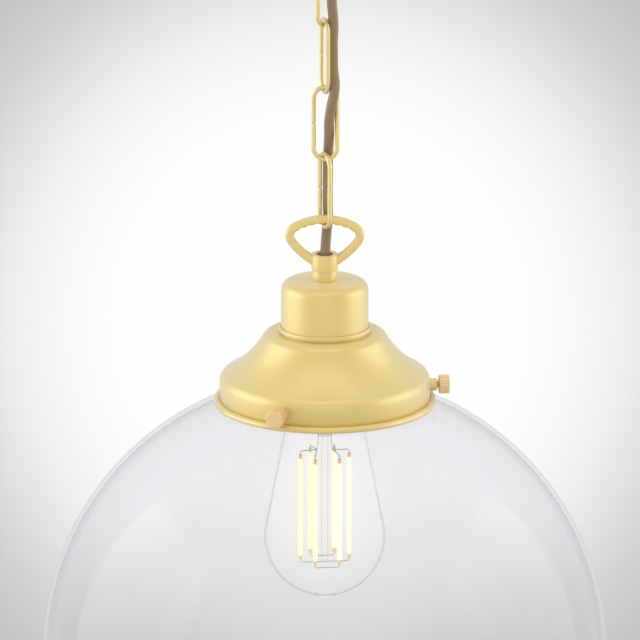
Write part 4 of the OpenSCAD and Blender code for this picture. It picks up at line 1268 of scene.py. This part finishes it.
@dataclass
class FlexEnds:
    """The flex's two stripped ends and the three cores of each."""

    flex_r: float = 2.65
    core_r: float = 1.0
    core_x: float = 1.4
    core_y: float = 1.6
    way_pitch: float = 10.0
    way_y: float = 1.0
    way_reach: float = 7.5
    way_z: float = -7.5
    terminal_x: float = 8.0
    terminal_z: float = -273.25
    tag_x: float = 11.0

    def tail(self, low: float, high: float) -> Form:
        """The end of the sheath."""
        return lathe(softened([(0, low, 0), (self.flex_r, low, 0.35), (self.flex_r, high, 0.35), (0, high, 0)]), 48)

    @staticmethod
    def bend(start: Point, end: Point, rise: float) -> List[Point]:
        """Corner points of a core from the sheath to its terminal."""
        a, b = np.array(start, float), np.array(end, float)
        up = np.array([0, 0, rise])
        points = [a, a + 0.35 * up, a + 0.35 * (b - a) + 0.3 * up, b - 0.35 * up - 0.2 * (b - a), b - 0.2 * up, b]
        return [tuple(p) for p in points]

    def core(self, points: Sequence[Point], side: Point = (0, 1, 0)) -> Form:
        """An insulated core along its points."""
        path = smooth_path(points, 8)
        return sweep(path, circle(self.core_r, 18), side=side, swell=rounded_ends(len(path), 2))

    def build(self) -> None:
        """Makes the tails and cores."""
        make("flex_end_upper", self.tail(foot_of("upper_tail"), head_of("upper_tail")), SHEATH, "upper_tail")
        make("flex_end_lower", self.tail(foot_of("lower_tail"), head_of("lower_tail")), SHEATH, "lower_tail")
        finishes = {"live": BROWN_CORE, "neutral": BLUE_CORE, "earth": GREEN_CORE}
        starts = {"live": (-self.core_x, 0.0), "neutral": (self.core_x, 0.0), "earth": (0.0, self.core_y)}
        ways = {"live": -self.way_pitch, "neutral": self.way_pitch, "earth": 0.0}
        tail_z = head_of("upper_tail")
        for name, finish in finishes.items():
            end = (ways[name], self.way_y, self.way_z)
            bend = self.bend((*starts[name], tail_z), end, self.way_z - tail_z)
            made = self.core(bend).with_form(self.core([
                (end[0], end[1] - 0.6, end[2]), (end[0], end[1] + 3, end[2]),
                (end[0], end[1] + self.way_reach, end[2])], (1, 0, 0)))
            make(f"core_upper_{name}", made, finish, f"upper_{name}")
        tail_z = foot_of("lower_tail")
        for name, side in (("live", -1), ("neutral", 1)):
            end = (side * self.terminal_x, 0, self.terminal_z)
            bend = self.bend((side * self.core_x, 0, tail_z), end, self.terminal_z - tail_z)
            make(f"core_lower_{name}", self.core(bend), finishes[name], f"lower_{name}")
        x, y, tag_z = self.tag_x, self.core_y, foot_of("earth_tag")
        earth = [
            (0, y, tail_z), (0, y, tail_z - 0.8), (0.8, y + 1.4, tail_z - 2.8), (3, y + 2.8, tail_z - 3.6),
            (6, y + 3.4, tail_z - 2.8), (x - 1.6, y + 2.6, tail_z + 0.4), (x - 0.2, y + 0.8, tail_z + 4.4),
            (x, 0, tag_z - 3), (x, 0, tag_z)]
        make("core_lower_earth", self.core(earth), GREEN_CORE, "lower_earth")


@dataclass
class Globe:
    """Clear blown globe with its neck and lip."""

    r: float = 150.0
    wall: float = 2.5
    neck_r: float = 49.5
    fillet: float = 4.0
    lip_r: float = 53.2
    lip_h: float = 3.5

    def form(self, low: float, high: float) -> Form:
        """The globe from its lowest point to the top of its lip."""
        centre = (0.0, low + self.r)
        fillet_r = self.neck_r + self.fillet
        bend = (fillet_r, centre[1] + math.sqrt((self.r + self.fillet) ** 2 - fillet_r ** 2))
        meet = angle_of(bend[0], bend[1] - centre[1])
        half = self.lip_h / 2
        lip = (self.lip_r - half, high - half)
        outline = (arc(centre, self.r, -90, meet, 110)
                   + arc(bend, self.fillet, meet + 180, 180, 10)
                   + [(self.neck_r, high - self.lip_h)]
                   + arc(lip, half, -90, 90, 12)
                   + [(self.neck_r - self.wall, high)]
                   + arc(bend, self.fillet + self.wall, 180, meet + 180, 10)
                   + arc(centre, self.r - self.wall, meet, -90, 110))
        return lathe(outline, 224)

    def build(self) -> None:
        """Makes the globe."""
        form = self.form(foot_of("glass_globe"), head_of("glass_globe"))
        make("globe_glass", form, CLEAR_GLASS, "glass_globe", crease=60)


@dataclass
class Lampholder:
    """Porcelain body, screw shell, contact and shade ring."""

    body_r: float = 18.7
    bore_r: float = 14.0
    flange_r: float = 22.2
    flange_h: float = 4.5
    upper_r: float = 17.0
    wiring_r: float = 14.5
    web_t: float = 5.0
    rivet_r: float = 1.65
    shell_r: float = 13.95
    shell_t: float = 0.4
    pitch: float = 3.6
    ring_r: float = 25.5
    ring_bore: float = 18.75
    contact_r: float = 3.2
    contact_t: float = 0.8

    def body(self, mouth: float, gallery_top: float, top: float, web_top: float) -> Form:
        """The glazed body, turned round its heights."""
        web_low = web_top - self.web_t
        return lathe(softened([
            (self.bore_r, mouth, 0.5), (self.body_r, mouth, 0.6), (self.body_r, gallery_top, 0),
            (self.flange_r, gallery_top, 0.3), (self.flange_r, gallery_top + self.flange_h, 0.6),
            (self.upper_r, gallery_top + self.flange_h, 0.3), (self.upper_r, top, 0.6), (self.wiring_r, top, 0.5),
            (self.wiring_r, web_top, 0.4), (self.rivet_r, web_top, 0.1), (self.rivet_r, web_low, 0.1),
            (self.bore_r, web_low, 0.5)], 5), 112)

    def shell(self, low: float, high: float) -> Form:
        """The rolled screw shell."""
        def warp(turn: np.ndarray, radius: np.ndarray, height: np.ndarray) -> np.ndarray:
            wave = 0.5 + 0.5 * np.cos(TURN * (height / self.pitch - turn / TURN))
            ends = np.clip((height - low) / 2, 0, 1) * np.clip((high - height) / 2, 0, 1)
            return radius - 0.22 * wave * ends
        heights = np.linspace(low, high, 60)
        outside = [(self.shell_r, z) for z in heights]
        inside = [(self.shell_r - self.shell_t, z) for z in heights[::-1]]
        return lathe(outside + inside, 96, warp)

    def contact(self, low: float, high: float) -> Form:
        """The domed centre contact on its rivet."""
        r, t = self.contact_r, self.contact_t
        return lathe(softened([
            (0, low, 0), (r * 0.5, low, 0), (r, low + t * 0.4, 0.2), (r, low + t, 0.1), (r / 2, low + t, 0),
            (r / 2, high, 0.2), (0, high, 0)]), 48)

    def ring(self, low: float, high: float) -> Form:
        """The shade ring with a finger grip round its edge."""
        def warp(turn: np.ndarray, radius: np.ndarray, height: np.ndarray) -> np.ndarray:
            edge = np.clip((radius - self.ring_r + 0.8) / 0.8, 0, 1)
            return radius - 0.35 * edge * (0.5 + 0.5 * np.cos(36 * turn))
        return lathe(softened([
            (self.ring_bore, low, 0.3), (self.ring_r, low, 0.7), (self.ring_r, high, 0.7),
            (self.ring_bore, high, 0.3)], 5), 288, warp)

    def build(self) -> None:
        """Makes the holder's pieces."""
        web_top = foot_of("holder_terminals")
        body = self.body(foot_of("holder_body"), foot_of("holder_cover"), head_of("holder_body"), web_top)
        make("porcelain_body", body, PORCELAIN, "holder_body")
        make("screw_shell", self.shell(foot_of("holder_shell"), head_of("holder_shell")), BARE_BRASS, "holder_shell")
        make("centre_contact", self.contact(foot_of("holder_contact"), head_of("holder_contact")), BARE_BRASS,
             "holder_contact")
        make("shade_ring_fluted", self.ring(foot_of("shade_ring"), head_of("shade_ring")), PORCELAIN, "shade_ring")
        dress(BARE_BRASS, "holder_terminals")
        dress(ZINC, "holder_screws")


@dataclass
class Lamp:
    """Long-filament lamp: cap, envelope, stem, wires and six sticks."""

    r: float = 32.2
    pip_r: float = 4.7
    pip_h: float = 4.4
    glass: float = 0.8
    taper: float = 11.0
    shoulder_r: float = 18.0
    neck_r: float = 14.0
    cap_r: float = 13.05
    cap_in_r: float = 11.65
    thread: float = 0.8
    pitch: float = 3.6
    stem_z: float = -334.5
    rod_r: float = 1.8
    rod_out: float = 0.3
    link_drop: float = 1.6
    ring_r: float = 13.0
    first_turn: float = 7.0
    count: int = 6
    stick_r: float = 1.15
    wire_r: float = 0.26
    bend: float = 0.8
    post_x: float = 4.3

    def envelope(self, low: float, cap_low: float) -> Form:
        """The blown envelope with its small pip."""
        centre = np.array([0, low + self.pip_h + self.r])
        side = np.array([math.cos(math.radians(self.taper)), math.sin(math.radians(self.taper))])
        neck = np.array([self.neck_r, cap_low - 0.3])
        gap = self.r - self.shoulder_r - side @ (neck - centre)
        down = math.sqrt(self.shoulder_r ** 2 - gap ** 2)
        curve = neck + gap * side + down * np.array([side[1], -side[0]])
        end = angle_of(*(neck - curve))
        sleeve = self.cap_in_r - 0.05
        g = self.glass
        outline = (arc((0, low + self.pip_r), self.pip_r, 270, 345, 12)
                   + [(4.75, low + 3.9), (5.1, low + 4.4)]
                   + arc(centre, self.r, 280, 360 + self.taper, 60)
                   + arc(curve, self.shoulder_r, self.taper, end, 18)
                   + [(sleeve + 0.4, neck[1] + 0.15), (sleeve, cap_low + 0.2), (sleeve, cap_low + 3),
                      (sleeve - g, cap_low + 3)]
                   + arc(curve, self.shoulder_r - g, end, self.taper, 18)
                   + arc(centre, self.r - g, 360 + self.taper, 279, 60)
                   + arc((0, low + self.pip_r), self.pip_r - g, 345, 270, 12))
        return lathe(outline, 128)

    def cap(self, low: float, high: float) -> Form:
        """The screw cap with its rolled thread."""
        def warp(turn: np.ndarray, radius: np.ndarray, height: np.ndarray) -> np.ndarray:
            wave = 0.5 - 0.5 * np.cos(TURN * ((height - low) / self.pitch - turn / TURN))
            ends = np.clip((height - low - 1) / 1.5, 0, 1) * np.clip((high - 4 - height) / 1.5, 0, 1)
            return radius - np.where(radius > self.cap_r - 0.2, self.thread * wave * ends, 0.0)
        side = [(self.cap_r, z) for z in np.linspace(low + 0.3, high - 3.2, 70)]
        top = arc((self.cap_r - 4, high - 3.2), 4, 10, 70, 8)
        outline = ([(self.cap_in_r, low), (self.cap_r - 0.15, low)] + side + top
                   + [(self.cap_r - 4, high), (self.cap_in_r - 4, high), (self.cap_in_r, high - 4)])
        return lathe(outline, 112, warp)

    def insulator(self, low: float, high: float) -> Form:
        """The black glass round the contact."""
        return lathe(softened([
            (0, low, 0), (self.cap_r - 4.2, low + 1, 0.3), (4.8, high, 0.3), (0, high, 0)]), 64)

    def contact(self, low: float, high: float) -> Form:
        """The soldered button."""
        return lathe([(0, low), (4.6, low), (4.5, low + 0.4), (4.0, low + 0.75), (2.5, high), (0, high)], 48)

    def stem(self, cap_low: float, filament_low: float) -> Form:
        """The flared glass stem and its rod."""
        flare = self.cap_in_r - self.glass - 0.1
        z = self.stem_z
        outline = smooth_path([(flare, cap_low + 3, 0), (7.4, cap_low - 0.6, 0), (5.2, cap_low - 7, 0),
                               (4.6, z + 4, 0), (4.4, z + 0.9, 0)], 6)[:, :2]
        stem = lathe([(0, cap_low + 3)] + [tuple(p) for p in outline] + [(3.9, z + 0.15), (3.0, z), (0, z)], 64)
        low = filament_low - self.rod_out
        rod = lathe(softened([(0, low, 0), (self.rod_r, low, 0.7), (self.rod_r, z + 1, 0), (0, z + 1, 0)]), 40)
        return stem.with_form(rod)

    def stick_at(self, i: int, z: float) -> np.ndarray:
        """A point on one stick's axis."""
        a = math.radians(self.first_turn + 360 * i / self.count)
        return np.array([self.ring_r * math.cos(a), self.ring_r * math.sin(a), z])

    def sticks(self, low: float, high: float) -> Form:
        """The six coated sticks with thinner bare ends."""
        r, e = self.stick_r, 3.0
        outline = softened([
            (0, low, 0), (r * 0.7, low, 0.2), (r * 0.75, low + e, 0.1), (r, low + e + 0.3, 0.3),
            (r, high - e - 0.3, 0.3), (r * 0.75, high - e, 0.1), (r * 0.7, high, 0.2), (0, high, 0)], 3)
        stick = lathe(outline, 28)
        return joined([stick.placed(Matrix.Translation(tuple(self.stick_at(i, 0)))) for i in range(self.count)])

    def wire(self, points: Sequence[Sequence[float]], side: Point) -> Form:
        """A thin wire through points."""
        corners = np.array(points, float)
        held = [corners[0]]
        for start, end in zip(corners[:-1], corners[1:]):
            length = np.linalg.norm(end - start)
            if length > 3 * self.bend:
                step = (end - start) * self.bend / length
                held += [start + step, end - step]
            held.append(end)
        path = smooth_path(held, 4)
        return sweep(path, circle(self.wire_r, 12), side=side, swell=rounded_ends(len(path), 1))

    def wires(self, low: float, high: float) -> Form:
        """Leads, their branches, and the links under the sticks."""
        made = []
        for side in (-1, 1):
            made.append(self.wire([(side * 3.4, 0, self.stem_z + 0.6), (side * 3.6, 0, high + 5),
                                   (side * self.post_x, 0, high + 1.7)], (0, 1, 0)))
        up = np.array([0.0, 0.0, 1.0])
        for i in range(self.count):
            p = self.stick_at(i, high)
            post = np.array([math.copysign(self.post_x, p[0]), 0, high + 2])
            out = p - post
            knee = post + np.array([out[0] * 0.92, out[1] * 0.92, -0.3])
            side = unit(np.array([-out[1], out[0], 0]))
            made.append(self.wire([post, knee, p + 1.0 * up, p + 0.05 * up], tuple(side)))
        for i in (0, 1, 5):
            p, q = self.stick_at(i, low), self.stick_at((9 - i) % self.count, low)
            drop = self.link_drop * up
            side = unit(np.cross(up, q - p))
            made.append(self.wire([p - 0.05 * up, p - 0.8 * up, p + (q - p) * 0.06 - drop,
                                   q + (p - q) * 0.06 - drop, q - 0.8 * up, q - 0.05 * up], tuple(side)))
        return joined(made)

    def build(self) -> None:
        """Makes the lamp."""
        cap_low, cap_high = foot_of("lamp_cap"), head_of("lamp_cap")
        low, high = foot_of("lamp_filaments"), head_of("lamp_filaments")
        phosphor = Phosphor("phosphor", "phosphor", low, high)
        make("envelope", self.envelope(foot_of("lamp_glass"), cap_low), LAMP_GLASS, "lamp_glass", crease=60)
        make("screw_cap", self.cap(cap_low, cap_high), BARE_BRASS, "lamp_cap")
        make("cap_insulator", self.insulator(foot_of("lamp_insulator"), head_of("lamp_insulator")), BLACK_GLASS,
             "lamp_insulator")
        make("cap_contact", self.contact(foot_of("lamp_contact"), head_of("lamp_contact")), ZINC, "lamp_contact")
        make("stem_and_rod", self.stem(cap_low, low), STEM_GLASS, "lamp_stem", crease=60)
        make("lead_wires", self.wires(low, high), LEAD_WIRE, "lamp_wires", crease=60)
        make("filament_sticks", self.sticks(low, high), phosphor, "lamp_filaments")


@dataclass
class CeilingEnd:
    """Rose, bracket and terminal block."""

    ogee: Ogee = field(default_factory=lambda: Ogee(
        50.0, 8.0, 6.0, 45.0, 17.0, 5.0, -foot_of("ceiling_rose"), 5.3))
    wall: float = 1.0
    screw_z: float = -4.0
    hole_r: float = 2.3
    head_r: float = 3.6
    head_h: float = 2.4
    thread_r: float = 2.0
    shank_l: float = 5.3
    reach: float = 50.3

    def side(self, sign: int) -> Matrix:
        """Place of a side screw's axis, with its Z outwards."""
        turn = Matrix.Rotation(0 if sign > 0 else math.pi, 4, "Z")
        return Matrix.Translation((0, 0, self.screw_z)) @ turn @ Matrix.Rotation(math.pi / 2, 4, "Y")

    def rose(self) -> Form:
        """The spun rose, hung mouth up, with holes for its side screws."""
        outer, inner = self.ogee.outline(0.0, 32), self.ogee.outline(self.wall, 32)
        band, wall = self.ogee.band_r, self.wall
        outline = outer + [(band, 0.15), (band - 0.15, 0), (band - wall, 0)] + inner[::-1]
        rose = lathe(outline, 176).placed(Matrix.Scale(-1, 4, (0, 0, 1)))
        for sign in (-1, 1):
            drill = lathe([(0, 40), (self.hole_r, 40), (self.hole_r, 60), (0, 60)], 40).placed(self.side(sign))
            rose = carved(rose, drill, Cut.TAKE_AWAY)
        return rose

    def screws(self) -> Form:
        """The two round-headed side screws with their slots."""
        start = self.reach - self.shank_l
        dome = arc((0, self.reach - 1.9), 4.3, 30, 90, 10)
        limit = self.reach + self.head_h
        head = [(self.thread_r, self.reach), (self.head_r - 0.1, self.reach), (self.head_r, self.reach + 0.2)]
        head += [(x, min(z, limit)) for x, z in dome if x < self.head_r]
        outline = [(0, start), (self.thread_r - 0.3, start), (self.thread_r, start + 0.4)] + head
        made = []
        for sign in (-1, 1):
            screw = lathe(outline, 56)
            slot = Form(np.array([(x, y, z) for x in (-5, 5) for y in (-0.45, 0.45)
                                  for z in (limit - 1.1, limit + 2)], float),
                        [(0, 1, 3, 2), (4, 6, 7, 5), (0, 4, 5, 1), (2, 3, 7, 6), (0, 2, 6, 4), (1, 5, 7, 3)])
            made.append(carved(screw, slot, Cut.TAKE_AWAY).placed(self.side(sign)))
        return joined(made)

    def build(self) -> None:
        """Makes the ceiling end."""
        make("rose_spun", self.rose(), SPUN_BRASS, "ceiling_rose", crease=38)
        make("side_screws", self.screws(), BARE_BRASS, "rose_screws")
        dress(ZINC, "ceiling_bracket", "terminal_screws")
        dress(NYLON, "terminal_block")


def main() -> None:
    """Builds the studio and every piece."""
    logging.basicConfig(level=logging.INFO, format="%(name)s: %(message)s")
    studio = Studio()
    studio.camera()
    Flex().build()
    studio.build()
    gallery = Gallery()
    for part in (Chain(), LoopCasting(), NeckRings(), FlexEnds(), HolderCover(), gallery, ThumbScrews(gallery),
                 Globe(), Lampholder(), Lamp(), CeilingEnd()):
        part.build()


if __name__ == "__main__":
    main()
